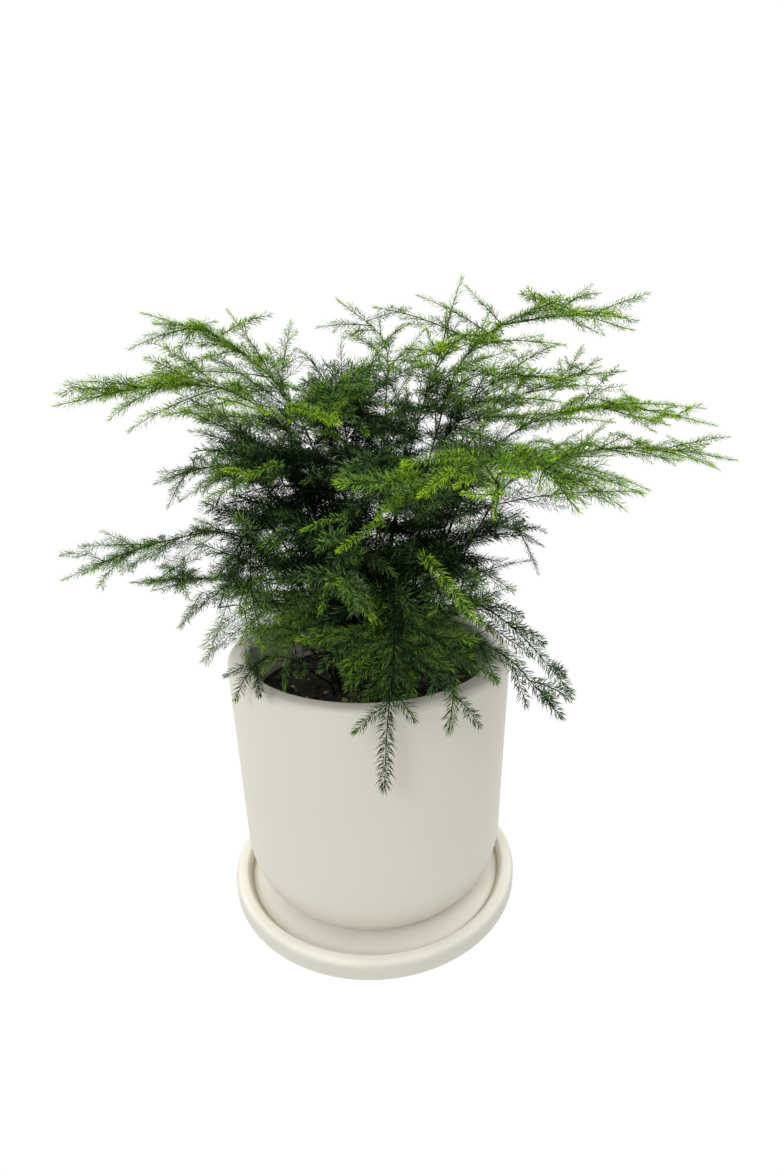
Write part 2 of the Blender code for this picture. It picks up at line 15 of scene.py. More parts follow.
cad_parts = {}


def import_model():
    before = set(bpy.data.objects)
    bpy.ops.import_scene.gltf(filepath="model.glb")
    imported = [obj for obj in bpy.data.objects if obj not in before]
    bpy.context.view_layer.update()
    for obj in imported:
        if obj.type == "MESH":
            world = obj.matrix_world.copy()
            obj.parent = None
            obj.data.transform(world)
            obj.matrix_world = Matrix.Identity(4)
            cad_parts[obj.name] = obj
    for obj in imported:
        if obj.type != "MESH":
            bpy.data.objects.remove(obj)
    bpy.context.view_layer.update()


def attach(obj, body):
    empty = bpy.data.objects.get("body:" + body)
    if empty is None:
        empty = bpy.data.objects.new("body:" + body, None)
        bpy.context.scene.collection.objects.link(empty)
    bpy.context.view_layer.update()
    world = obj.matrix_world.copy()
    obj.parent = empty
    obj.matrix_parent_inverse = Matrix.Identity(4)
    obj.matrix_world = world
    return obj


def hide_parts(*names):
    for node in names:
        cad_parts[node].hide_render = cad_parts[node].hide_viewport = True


MM = 0.001
SEED = 20
UP = np.array((0.0, 0.0, 1.0))
TINY = 1e-9  # keeps a length that is divided by from being 0
TRIANGLE = np.arange(3) * 2 * pi / 3

# Camera, fitted to the ellipses of rim, foot and saucer in the photograph
CAMERA_AT, CAMERA_NEAR = (11.08, -283.8, 245.7), 0.01
CAMERA_PITCH, CAMERA_ROLL, CAMERA_LENS = radians(17.98), radians(-0.98), 20.04

# Pot and saucer, as in the CAD source
TOUCH = 0.3
TURNED_SEGMENTS, SHARP_ANGLE, MERGE_WITHIN = 160, radians(40), 0.00001
SAUCER_R, SAUCER_HEIGHT = 71.0, 10.0
SAUCER_WELL_R, SAUCER_FLOOR = 62.4, 4.0
SAUCER_LIP_R, SAUCER_LIP_EDGE, SAUCER_EDGE = 64.4, 2.0, 3.0
SAUCER_WELL_EDGE, SAUCER_MIDDLE_R = 2.5, 30.0
POT_BASE_Z = SAUCER_FLOOR + TOUCH
RIM_Z, RIM_R, RIM_EDGE = 126.3, 65.0, 3.0
OPENING_R = 56.0
WALL_FOOT_R = 62.8
BELLY_DROP, FOOT_R = 32.0, 39.0
FOOT_RING, FOOT_RECESS, FOOT_SLOPE = 9.0, 1.5, 1.0
FLOOR_Z, DRAIN_R = 12.5, 6.0
INNER_R_LOW, INNER_FOOT_R, INNER_DROP = 54.5, 34.0, 26.0
# Points on the arcs of an edge, the saucer's lip and well, the pot's belly and hollow, and the root ball
EDGE_POINTS, LIP_POINTS, WELL_POINTS, BELLY_POINTS, HOLLOW_POINTS, BALL_POINTS = 13, 9, 6, 40, 24, 12

# How bright the studio is in front, behind, added above, and at its lit floor, and over what ranges of a
# direction's Y and Z it changes
WORLD_FRONT, WORLD_BACK, WORLD_TOP, FLOOR_GLOW = 0.20, 1.05, 0.5, 1.02
WORLD_TURN, WORLD_RISE = (-0.35, 0.35), (0.3, 0.8)
FLOOR_HALF = 4.0
# Its lights: each one's place, aim and size, in metres, and its power in watts
LIGHTS = {
    "key": ((-0.49, -1.2, 1.0), (0, 0, 0.08), 0.6, 9.4),
    "top": ((0.0, -0.1, 1.5), (0, 0, 0.15), 0.3, 8.5),
}

# Glaze, in linear light: the pot's, and the saucer's by radius, with a brown line between its lip and well.
# The saucer's rings are painted light and shade on one glaze: its well and lip are lit brighter, its side
# darker.
POT_TINT, BROWN_LINE_TINT = (0.675, 0.645, 0.56), (0.42, 0.33, 0.22)
WELL_PAINTED_LIGHT_TINT, LIP_PAINTED_LIGHT_TINT, SIDE_PAINTED_SHADE_TINT = (1.0, 0.97, 0.88), (0.87, 0.84, 0.735), (0.64, 0.62, 0.535)
SAUCER_PAINTED_LIGHT_AND_SHADE_TINTS = [
    (0.0, WELL_PAINTED_LIGHT_TINT), (61.9, WELL_PAINTED_LIGHT_TINT), (62.9, BROWN_LINE_TINT), (63.9, LIP_PAINTED_LIGHT_TINT),
    (SAUCER_R - 1.5, LIP_PAINTED_LIGHT_TINT), (SAUCER_R, SIDE_PAINTED_SHADE_TINT),
]
FOOT_LINE, FOOT_FADE, FOOT_TINT = 0.9, 0.5, (0.30, 0.26, 0.20)
CLOUD_DARK, CLOUD_PALE = (0.97, 0.965, 0.96), (1.0, 1.0, 1.0)
GLAZE_ROUGHNESS = (0.34, 0.46)

# Soil. Its lumps, crumbs and grains each have a height, how fine they are, and a place in the noise
SOIL_EDGE_Z, SOIL_CENTRE_Z, SOIL_LUMPS = 102.0, 107.0, 1.0
HOLE_DEPTH, HOLE_SPARE = 10.0, 1.0
SOIL_R, SOIL_RINGS = 55.3, 54
SOIL_FADE = 3.0  # width at the wall over which the lumps fade
LUMPS, CRUMBS, GRAINS = (2.2, 0.11, 0), (1.5, 0.34, 5), (0.6, 0.9, 9)
CHIPS, CHIPS_R, CHIP_SIZE = 620, 53.0, (1.0, 5.0)
CHIP_WIDTH, CHIP_THICKNESS, CHIP_ROUGH = (0.4, 0.9), (0.3, 0.6), (0.28, 0.62)  # shares of its size
CHIP_TILT, CHIP_RISE = 0.5, 0.15
COLLAR = 4.0  # height above the soil to which a stem stays upright

# Stems and limbs, as in the CAD source
CURVE_STEPS = 24
STEM_R, STEM_POINTS = 1.0, 8
LIMB_R, LIMB_POINTS = 0.6, 3
LIMB_SPAN, LIMB_STEP = (0.4, 0.92), 0.02
LIMB_SPACING = 5.0
LIMB_TURN, LENGTH_COST = radians(45), 0.008
LIMB_SWINGS, LIMB_LIFTS = (0, 0.08, -0.08, 0.16, -0.16, 0.24, -0.24, 0.32, -0.32), (0.1, 0.2, 0, -0.1, 0.3)
CLEARANCE, POT_CLEARANCE = 0.45, 1.0
POT_TESTS = 6
LEAFY_POINTS = 4

# Each frond: where its stem stands in the soil, the points that its stem passes, and the tips of its limbs.
# A tip's fourth number, where it has one, is the share of the stem's length at which that limb leaves it.
FRONDS = {
    "top_right": (
        (9, 1), [(16, -2, 160), (33, -8, 232), (44, -10, 256), (56, -9, 268), (80, -9, 268), (107, -10, 261)],
        [(100, 14, 277), (94, -34, 264), (76, -30, 255),
         (6, -20, 270, 0.72), (23, 0, 276, 0.74), (42, -2, 279, 0.76)]),
    "tuft": (
        (3, -4), [(8, -8, 160), (22, -10, 225), (30, -14, 250), (32, -28, 256), (29, -45, 255)],
        [(14, -35, 254), (39, -18, 280, 0.84), (58, -25, 254), (64, -32, 247), (8, -14, 250)]),
    "right_far": (
        (15, 6), [(30, 5, 160), (50, 3, 208), (66, 1, 226), (90, 1, 230), (120, 3, 230), (152, 5, 223)],
        [(127, 30, 233), (128, -22, 232), (98, -24, 227), (100, 26, 235)]),
    "right_low": (
        (20, 9),
        [(38, 12, 150), (60, 14, 192), (82, 16, 209), (115, 17, 212), (145, 19, 211), (171, 20, 206)],
        [(120, -10, 198), (138, 42, 212), (150, -2, 206), (104, 40, 205)]),
    "right_up": (
        (12, 14), [(24, 20, 160), (46, 28, 212), (66, 33, 232), (92, 35, 243), (121, 35, 246)],
        [(104, 47, 258), (100, 12, 240), (84, 56, 248), (62, 50, 250)]),
    "right_mid": (
        (8, -5), [(18, -9, 160), (33, -18, 220), (46, -26, 240), (62, -30, 245), (80, -32, 243)],
        [(76, -14, 256), (51, -50, 233), (70, -52, 236), (38, -42, 241)]),
    "bright": (
        (12, -12), [(22, -22, 150), (36, -36, 200), (46, -47, 217), (58, -70, 218), (66, -96, 207)],
        [(15, -98, 222), (22, -92, 212), (97, -62, 206), (104, -42, 203), (40, -100, 212), (84, -82, 205)]),
    "top_mid": (
        (-1, 9), [(4, 22, 170), (10, 42, 238), (9, 54, 262), (0, 60, 273), (-13, 60, 281)],
        [(22, 64, 270), (-22, 50, 268), (-8, 80, 266)]),
    "left_top": (
        (-6, 7), [(-11, 10, 160), (-23, 15, 215), (-38, 20, 243), (-62, 22, 262), (-94, 20, 273)],
        [(-97, 8, 258), (-96, 0, 246), (-80, 40, 270), (-34, 45, 271), (-60, -8, 254)]),
    "left_long": (
        (-7, 1), [(-13, -1, 160), (-26, -3, 216), (-46, -5, 238), (-80, -3, 243), (-128, 0, 236)],
        [(-89, -26, 227), (-118, 22, 237), (-44, -42, 234), (-70, -38, 234), (-100, -16, 231)]),
    "left_back": (
        (-13, 11), [(-26, 22, 150), (-44, 36, 190), (-62, 44, 204), (-84, 46, 203), (-107, 45, 196)],
        [(-105, 54, 182), (-91, 66, 206), (-90, 28, 190), (-60, 70, 200)]),
    "left_low": (
        (-16, 6), [(-28, 13, 140), (-48, 24, 166), (-72, 30, 174), (-115, 37, 165), (-159, 40, 148)],
        [(-138, 46, 172), (-134, 22, 158), (-126, 64, 156), (-100, 8, 154), (-96, 62, 165)]),
    "left_lower": (
        (-18, -1), [(-30, 3, 126), (-48, 12, 146), (-66, 19, 152), (-92, 26, 152), (-120, 30, 149)],
        [(-94, 16, 130), (-80, 2, 118), (-104, 46, 138), (-78, 42, 142)]),
    "left_front": (
        (-8, -7), [(-14, -14, 160), (-24, -24, 204), (-32, -32, 216), (-42, -44, 216), (-53, -57, 210)],
        [(-52, -26, 202), (-30, -60, 212), (-60, -40, 208), (-16, -48, 214)]),
    "curtain": (
        (-14, -10), [(-23, -21, 150), (-33, -36, 190), (-38, -50, 196), (-38, -66, 182), (-34, -75, 158)],
        [(-54, -52, 164), (-20, -66, 170), (-52, -64, 178), (-18, -62, 186)]),
    "core_left": (
        (-5, -12), [(-10, -22, 150), (-14, -38, 186), (-12, -56, 194), (-5, -76, 186), (4, -92, 174)],
        [(-12, -84, 174), (-24, -74, 190), (12, -78, 184)]),
    "core_right": (
        (8, -18), [(15, -26, 145), (24, -36, 176), (30, -52, 183), (36, -70, 178), (40, -86, 169)],
        [(54, -62, 172), (24, -84, 172), (50, -50, 180), (18, -64, 180)]),
    "mid_spray": (
        (2, -9), [(7, -16, 160), (14, -30, 200), (14, -46, 214), (6, -64, 218), (-5, -82, 215)],
        [(-4, -84, 200), (12, -90, 208), (28, -70, 214), (-18, -62, 212), (30, -56, 206)]),
    "front_top": (
        (-2, -2), [(-3, -8, 160), (-6, -18, 222), (-8, -28, 238), (-9, -48, 240), (-8, -72, 232)],
        [(-22, -58, 232), (4, -66, 228), (10, -46, 236), (-26, -38, 238)]),
    "front_droop": (
        (4, -20),
        [(6, -32, 140), (9, -44, 170), (12, -58, 170), (11, -70, 146), (8, -78, 122), (7, -79, 102)],
        [(-18, -70, 160), (-14, -78, 150), (40, -76, 150), (32, -80, 140), (-3, -79, 126), (18, -80, 131)]),
    "right_droop": (
        (14, -17), [(20, -28, 128), (27, -44, 146), (31, -56, 148), (33, -66, 138), (31, -71, 121)],
        [(43, -66, 120), (24, -74, 138), (50, -60, 136), (18, -64, 148)]),
    "rim_left": (
        (-17, -12), [(-25, -20, 122), (-35, -31, 134), (-44, -43, 137), (-51, -53, 126)],
        [(-40, -60, 131), (-58, -40, 130), (-26, -50, 134)]),
    "right_side": (
        (21, 0), [(29, -6, 132), (40, -18, 152), (56, -24, 148), (73, -29, 132), (87, -31, 115)],
        [(80, -8, 128), (88, -16, 116), (66, -42, 138), (70, -4, 140), (60, 4, 148)]),
    "right_lean": (
        (19, -9), [(30, -22, 128), (42, -38, 143), (54, -44, 140), (68, -47, 126), (79, -48, 113)],
        [(62, -58, 124), (78, -36, 112), (50, -58, 134), (84, -42, 118)]),
    "right_back": (
        (17, 16), [(32, 24, 140), (50, 34, 168), (66, 40, 172), (80, 44, 167), (90, 46, 160)],
        [(86, 36, 148), (82, 58, 172), (70, 66, 160), (78, 20, 160)]),
    "back_left": (
        (-7, 17), [(-15, 30, 150), (-28, 52, 196), (-38, 72, 206), (-50, 94, 202), (-60, 114, 188)],
        [(-76, 88, 196), (-34, 108, 190), (-64, 64, 204), (-20, 84, 206)]),
    "back_mid": (
        (3, 15), [(5, 28, 160), (7, 50, 212), (8, 68, 224), (9, 92, 220), (10, 118, 202)],
        [(-8, 104, 208), (30, 100, 210), (-12, 76, 222), (28, 74, 224)]),
    "back_right": (
        (10, 21), [(19, 36, 145), (34, 58, 186), (46, 74, 194), (60, 92, 190), (72, 108, 176)],
        [(84, 84, 182), (46, 110, 180), (70, 64, 190), (26, 88, 192)]),
    "back_low": (
        (-3, 22), [(-6, 38, 130), (-10, 58, 150), (-14, 74, 150), (-18, 90, 136), (-20, 100, 116)],
        [(-40, 86, 132), (4, 94, 128), (-36, 70, 146), (10, 74, 146)]),
}

# How each frond looks: how young it is, from 0, blackish green, to 1, yellow green, and, against the usual,
# how many side limbs and shoots it has and how long its needles are
LOOKS = {
    "top_right": (0.78, 0.75, 0.75), "tuft": (0.80, 0.85, 0.9), "right_far": (0.82, 0.75, 0.68),
    "right_low": (0.80, 0.8, 0.66), "right_up": (0.70, 0.75, 0.68), "right_mid": (0.66, 0.8, 0.9),
    "bright": (0.64, 1.25, 1.05), "top_mid": (0.66, 0.75, 0.9), "left_top": (0.76, 1.2, 0.9),
    "left_long": (0.76, 1.0, 0.95), "left_back": (0.46, 1.15, 0.85), "left_low": (0.58, 0.5, 0.9),
    "left_lower": (0.50, 1.0, 0.85), "left_front": (0.52, 1.9, 1.05), "curtain": (0.46, 1.3, 1.05),
    "core_left": (0.52, 1.3, 1.1), "core_right": (0.50, 1.2, 1.1), "mid_spray": (0.44, 1.6, 1.05),
    "front_top": (0.56, 2.1, 1.0), "front_droop": (0.30, 1.0, 1.0), "right_droop": (0.38, 1.0, 0.9),
    "rim_left": (0.38, 1.0, 0.8), "right_side": (0.36, 1.0, 1.0), "right_lean": (0.40, 1.0, 1.0),
    "right_back": (0.34, 0.9, 0.75), "back_left": (0.34, 0.9, 1.0), "back_mid": (0.44, 0.9, 1.0),
    "back_right": (0.42, 0.8, 1.0), "back_low": (0.26, 0.9, 1.0),
}

# Fronds whose limbs and hanging ends are plain foxtails, with no branchlets and the longest needles
FOXTAILS = {"front_droop", "right_droop", "rim_left", "right_lean", "right_side"}

# Fine growth
FINE_STEM_POINTS, FINE_LIMB_POINTS, SHOOT_POINTS = 40, 10, 4
STEM_RADII, LIMB_RADII, SHOOT_RADII = (0.7, 0.15), (0.28, 0.10), (0.14, 0.06)
FOXTAIL_RADII = (0.55, 0.15)
TUBE_TURN = 0.2  # how far a tube's corners are turned, as a share of one side
FOXTAIL_FROM = 0.4  # where on its stem a foxtail's needles start
FOXTAIL_LIMB_SIZE = 0.9  # the length of the needles on its limbs, against those on its stem
# What carries no needles: a length of a foxtail's root, and a share of a sprig's root and of a spray's limb
BARE_ROOT, BARE_SPRIG, BARE_SPRAY = 2, 0.8, 0.25
BULGE, BULGE_AT = 0.65, 0.42  # a needle's keel against its width, and how far along it is widest
BEND, BEND_AT = 0.09, 0.45  # how far a curved needle bends, and where, as shares of its length
RING_SHARES = (0.42, 0.48, 0.45)  # how far along it the three points of its bend take their colour
NEEDLE_PLACE, NEEDLE_WIDTH = (0.2, 0.8), (0.8, 1.15)  # ranges of its place in its step, and of its width
TURN_SPREAD, LEAN_SPREAD, TIP_SHORTENING, FEWEST_NEEDLES = 0.4, 0.16, 0.35, 3
GOLDEN_TURN = radians(137.5)
# Kinds of shoot: their spacing, where the first and last of them grow, the longest, how much longer they get
# with the path left in front of them, and how much they hang
Shoots = namedtuple("Shoots", "every first last longest share sag")
SIDE_LIMBS = Shoots(8.0, 2.0, 14.0, 30.0, 0.45, 0.05)
SPRAY_SHOOTS = Shoots(4.6, 3.0, 9.0, 16.0, 0.36, 0.06)
INNER_SHOOTS = Shoots(4.6, 4.0, 5.0, 16.0, 0.5, 0.06)
SHOOT_SHORTEST, SHOOT_LEAN = 3.0, radians(42)
# Ranges of a shoot's first place, spacing, lean and length against the usual, the mean and spread of its
# rise, how much it turns back along its path, and how often the next one grows on the other side
SHOOT_FIRST, SHOOT_STEP, SHOOT_LEANS, SHOOT_REACH = (0.6, 1.4), (0.55, 1.45), (0.65, 1.35), (0.45, 1.2)
SHOOT_RISE, SHOOT_RETURN, SHOOT_SWITCH = (0.04, 0.26), 0.35, 0.8
# Free limbs: the range of their spacing, the mean and spread of their rise, how many points they have, how
# far they stay from the pot, and how their length grows up the stem and falls again towards its tip
FREE_STEP, FREE_RISE, FREE_POINTS, FREE_SPARE = (0.5, 1.5), (0.35, 0.3), 7, 3.0
FREE_GROWS, FREE_FALLS = (0.35, 1.6), (2.2, 1.5)
TINT_OF_SHOOT, TINT_OF_NEEDLE = 0.07, 0.13
# Shoots are darker near a limb's root and lighter near its tip: partly younger growth at the tip, partly
# painted shade inside the plant
TINT_OF_LIMB = (-0.26, 0.14)  # at a limb's root and at its tip

# How a shoot is covered: whether its needles are curved, how wide they are, how many grow on a millimetre,
# how long they are, over what length at the shoot's tip they close up, how much younger they are there, and
# how much painted shade darkens them inside the plant
Cover = namedtuple("Cover", "curved width per_mm lengths tail tip shade")
SPRAY = Cover(False, 0.25, 3.5, (3.2, 5.0), 7.0, 0.28, 0.6)
TWIG = Cover(False, 0.25, 3.5, (3.0, 4.8), 4.0, 0.12, 0.6)
INNER = Cover(False, 0.34, 2.4, (3.2, 5.0), 3.0, 0.0, 0.66)
FOXTAIL = Cover(True, 0.44, 4.8, (4.2, 5.6), 5.0, 0.10, 0.1)
SKIRT = Cover(True, 0.30, 3.2, (4.0, 5.8), 5.0, 0.14, 0.0)
ACCENT = Cover(True, 0.29, 4.8, (2.6, 3.8), 6.0, 0.16, 0.0)
FILLER_FROM, FILLER_RISE = 0.72, 6.0  # where on its stem a filler starts, and how far its middle rises
# What the youth of a stem, a limb and a shoot adds to that of its needles, at its root and at its tip
AGE_OF_STEM, AGE_OF_LIMB, AGE_OF_SHOOT = np.array(((-0.55, 0.1), (-0.3, 0.1), (0.0, 0.1)))
NEEDLE_LEAN, NEEDLE_LEAN_TIP = radians(54), radians(20)

SPRIG_POINTS, SPRIG_FROM = 14, 10  # a sprig's points, and the first of its stem's that it grows from
# The young sprigs that stand out in front, by frond: how young each is, how long its needles are against the
# usual, where they start and where it ends
ACCENTS = {
    "left_front": [
        (0.84, 0.9, (-46, -50, 238), (-28, -66, 235)), (0.90, 1.0, (-22, -56, 236), (-4, -78, 232)),
        (0.90, 0.9, (-27, -60, 218), (-50, -66, 208)), (0.84, 0.7, (-37, -62, 215), (-44, -66, 217))],
    "mid_spray": [
        (0.56, 0.6, (-6, -64, 227), (-13, -76, 230)), (0.62, 1.5, (15, -86, 215), (-3, -100, 217))],
    "core_left": [
        (0.58, 0.7, (-4, -80, 203), (-16, -88, 201)), (0.76, 0.8, (8, -72, 200), (-5, -94, 196)),
        (0.78, 0.9, (14, -72, 208), (7, -96, 206)), (0.56, 1.2, (-7, -76, 182), (5, -90, 173))],
    "core_right": [(0.70, 1.2, (22, -80, 190), (37, -92, 173))],
    "bright": [
        (0.92, 0.9, (35, -92, 223), (15, -104, 223)), (0.94, 0.8, (29, -92, 219), (19, -104, 214)),
        (0.92, 0.8, (36, -92, 217), (29, -102, 216)), (0.92, 0.8, (42, -92, 212), (31, -102, 214)),
        (0.78, 0.7, (43, -92, 213), (41, -98, 206)), (0.90, 0.8, (43, -92, 218), (50, -102, 219))],
    "front_droop": [
        (0.56, 1.4, (7, -62, 153), (-16, -70, 161)), (0.52, 1.4, (14, -62, 154), (-8, -66, 146)),
        (0.52, 1.4, (14, -62, 154), (32, -66, 144)), (0.54, 1.4, (17, -60, 156), (41, -64, 154)),
        (0.54, 1.4, (8, -58, 152), (-12, -62, 151)), (0.54, 1.4, (11, -58, 148), (-7, -58, 133)),
        (0.50, 1.4, (12, -58, 146), (0, -57, 127)), (0.52, 1.4, (16, -58, 148), (29, -58, 137)),
        (0.54, 1.4, (17, -56, 150), (40, -58, 145)), (0.50, 1.4, (14, -58, 144), (19, -57, 129)),
        (0.56, 1.4, (3, -56, 156), (-24, -56, 152)), (0.52, 1.4, (21, -56, 156), (43, -56, 137))],
    "left_lower": [
        (0.64, 1.5, (-66, 6, 146), (-77, 0, 118)), (0.60, 1.3, (-80, 14, 148), (-92, 14, 131))],
    "curtain": [
        (0.66, 1.6, (-38, -50, 186), (-46, -42, 162)), (0.62, 1.5, (-48, -38, 158), (-51, -31, 133))],
    "rim_left": [
        (0.66, 1.1, (-31, -44, 144), (-40, -50, 136)), (0.66, 0.8, (-29, -44, 147), (-32, -52, 129)),
        (0.62, 1.1, (-26, -40, 147), (-42, -46, 146))],
}

# Limbs that thicken the plant where its outline is closed, by frond: where each ends
FILLERS = {
    "left_front": [
        (-64, -36, 235), (-64, -30, 227), (-55, -34, 220), (-41, -50, 223), (-71, -20, 241), (-50, -28, 221),
        (-24, -44, 222)],
    "front_top": [
        (-21, -30, 255), (-6, -30, 257), (10, -30, 256), (24, -40, 249), (-12, -46, 223), (8, -46, 225),
        (-23, -46, 225)],
}

# Inner growth, which fills the plant between its stems
INNER_SPAN, INNER_EVERY, INNER_LENGTH, INNER_SAG = (0.14, 0.92), 5.0, (16.0, 36.0), (0.05, 0.35)
# Painted shade: needles inside this ellipsoid of the plant are coloured darker the deeper they lie
CORE_AT, CORE_REACH = np.array((2.0, -4.0, 175.0)), np.array((84.0, 80.0, 80.0))
CORE_EDGE, CORE_FADE = 1.05, 0.50  # where the shade starts, and over how much it deepens

# The skirt of foxtails that spreads forward over the soil from the lowest stems, by frond: how young it is,
# and between which headings it spreads, in degrees
SKIRTS = {
    "front_droop": (0.54, -190, 10), "right_droop": (0.52, -130, 10), "rim_left": (0.66, -230, -60),
    "core_left": (0.54, -200, -60), "core_right": (0.54, -130, 10), "curtain": (0.64, -230, -90),
    "left_lower": (0.62, -220, -90), "right_lean": (0.50, -110, 10), "right_side": (0.50, -100, 30),
}
SKIRT_SPAN, SKIRT_EVERY, SKIRT_LENGTH, SKIRT_SAG = (0.08, 0.5), 2.2, (22.0, 42.0), (0.1, 0.5)
SKIRT_LOWEST = 131.0

# Where no foxtail of the skirt grows, so that the soil shows from the front: each such lane's ends and radius
LANES = [
    ((-36, 19, 108), (-24, -58, 143), 8.0), ((-25, -2, 108), (-18, -58, 135), 8.0),
    ((28, -11, 108), (26, -58, 131), 7.0),
]

# The palette that the needles' colours are drawn on: youth across, the place on a needle or the stems upward
PALETTE_WIDTH, PALETTE_NEEDLES, PALETTE_STEMS, PALETTE_STEP = (0.03, 0.97), (0.02, 0.78), (0.86, 0.96), 0.006


def unit(v):
    return v / max(norm(v), TINY)


def soil_height(x, y):
    """Height of the soil's mound, before its lumps."""
    share = min(hypot(x, y) / OPENING_R, 1.0)
    return SOIL_CENTRE_Z + (SOIL_EDGE_Z - SOIL_CENTRE_Z) * share**2


def along(path):
    """Each point's distance along a path."""
    return np.concatenate([[0], np.cumsum(norm(np.diff(path, axis=0), axis=1))])


def smooth_path(points, count):
    """Points evenly spaced along a Catmull-Rom curve through these."""
    p = np.array(points, float)
    ends = np.vstack([2 * p[0] - p[1], p, 2 * p[-1] - p[-2]])
    fine = []
    for i in range(len(p) - 1):
        a, b, c, d = ends[i : i + 4]
        for t in np.linspace(0, 1, CURVE_STEPS, endpoint=False):
            bend = (2 * a - 5 * b + 4 * c - d) * t**2 + (3 * b - a - 3 * c + d) * t**3
            fine.append(0.5 * (2 * b + (c - a) * t + bend))
    fine = np.array(fine + [p[-1]])
    reached = along(fine)
    at = np.linspace(0, reached[-1], count)
    return np.column_stack([np.interp(at, reached, fine[:, k]) for k in range(3)])


def arc(start, middle, tip, count):
    """Points along the parabola that leaves start towards middle and ends at tip."""
    t = np.linspace(0, 1, count)[:, None]
    return (1 - t) ** 2 * start + 2 * t * (1 - t) * middle + t**2 * tip


def point_at(path, distance):
    """The point this far along a path, and the direction there."""
    reached = along(path)
    i = min(int(np.searchsorted(reached, distance, side="right")) - 1, len(path) - 2)
    ahead = unit(path[i + 1] - path[i])
    return path[i] + ahead * (distance - reached[i]), ahead


def leaving_place(stem, tip, share, taken):
    """How far up the stem a limb grows to this tip: at the share given, or where it turns off as limbs do."""
    length = along(stem)[-1]
    if share is not None:
        return share * length
    costs = {}
    for at in np.arange(*LIMB_SPAN, LIMB_STEP) * length:
        start, ahead = point_at(stem, at)
        way = tip - start
        turn = acos(float(np.clip(unit(way) @ ahead, -1, 1)))
        crowd = min([abs(at - other) for other in taken] + [LIMB_SPACING])
        costs[at] = abs(turn - LIMB_TURN) + LENGTH_COST * norm(way) + (LIMB_SPACING - crowd)
    return min(costs, key=costs.get)


def free_of_pot(p, radius):
    away = hypot(p[0], p[1])
    if p[2] > RIM_Z + radius + POT_CLEARANCE:
        return True
    if away < OPENING_R - radius - POT_CLEARANCE:
        return p[2] > soil_height(p[0], p[1]) + radius + SOIL_LUMPS + POT_CLEARANCE
    return away > RIM_R + radius + POT_CLEARANCE


def gaps(p0, p1, rods):
    """Distance from the segment p0 to p1 to each rod's axis."""
    u, v, w = p1 - p0, rods[:, 3:6] - rods[:, 0:3], p0 - rods[:, 0:3]
    a, b, c = u @ u, v @ u, np.maximum((v * v).sum(axis=1), TINY)
    d, e = w @ u, (v * w).sum(axis=1)
    s = np.clip((b * e - c * d) / np.maximum(a * c - b * b, TINY), 0, 1)
    t = np.clip((b * s + e) / c, 0, 1)
    s = np.clip((b * t - d) / a, 0, 1)
    return norm(w + s[:, None] * u - t[:, None] * v, axis=1)


class Space:
    """The rods placed so far, each a row of its two ends, radius and frond."""

    def __init__(self):
        self.rods = np.zeros((0, 8))

    def add(self, points, radius, frond):
        rows = [np.concatenate([points[i], points[i + 1], [radius, frond]]) for i in range(len(points) - 1)]
        self.rods = np.vstack([self.rods, rows])

    def clear(self, points, radius, frond):
        others = self.rods[self.rods[:, 7] != frond]
        for p0, p1 in zip(points[:-1], points[1:]):
            if (gaps(p0, p1, others) < others[:, 6] + radius + CLEARANCE).any():
                return False
            if not all(free_of_pot(p0 + (p1 - p0) * t, radius) for t in np.linspace(0, 1, POT_TESTS)):
                return False
        return True


def stem_of(foot, via):
    """A stem's points, from the bottom of its hole in the soil to its tip."""
    x, y = foot
    ground = soil_height(x, y)
    bottom = np.array([(x, y, ground - HOLE_DEPTH + HOLE_SPARE)])
    return np.vstack([bottom, smooth_path([(x, y, ground + COLLAR)] + via, STEM_POINTS - 1)])


def limb_to(space, start, tip, frond):
    """The middle of a limb's arc, moved sideways or up by the least that keeps it clear of other fronds."""
    reach = norm(tip - start)
    side = unit(np.cross(tip - start, UP))
    for swing in LIMB_SWINGS:
        for lift in LIMB_LIFTS:
            middle = (start + tip) / 2 + reach * (swing * side + lift * UP)
            if space.clear(arc(start, middle, tip, LIMB_POINTS), LIMB_R, frond):
                return middle
    return None


def lay_out():
    """Every frond's stem and limbs, as the CAD source places them."""
    space = Space()
    plants = []
    for number, (name, (foot, via, tips)) in enumerate(FRONDS.items()):
        stem = stem_of(foot, via)
        space.add(stem, STEM_R, number)
        plants.append({"name": name, "stem": stem, "tips": tips, "limbs": []})
    for number, plant in enumerate(plants):
        taken = []
        for tip in plant["tips"]:
            share, tip = (tip[3] if len(tip) > 3 else None), np.array(tip[:3], float)
            taken.append(leaving_place(plant["stem"], tip, share, taken))
            start = point_at(plant["stem"], taken[-1])[0]
            middle = limb_to(space, start, tip, number)
            if middle is not None:
                space.add(arc(start, middle, tip, LIMB_POINTS), LIMB_R, number)
                plant["limbs"].append((start, middle, tip))
    return plants


def sides_of(ahead):
    """The directions across each of these: level, and upward."""
    side = np.cross(ahead, UP)
    side /= np.maximum(norm(side, axis=1)[:, None], TINY)
    return side, np.cross(side, ahead)


def across_palette(youth):
    return PALETTE_WIDTH[0] + (PALETTE_WIDTH[1] - PALETTE_WIDTH[0]) * youth


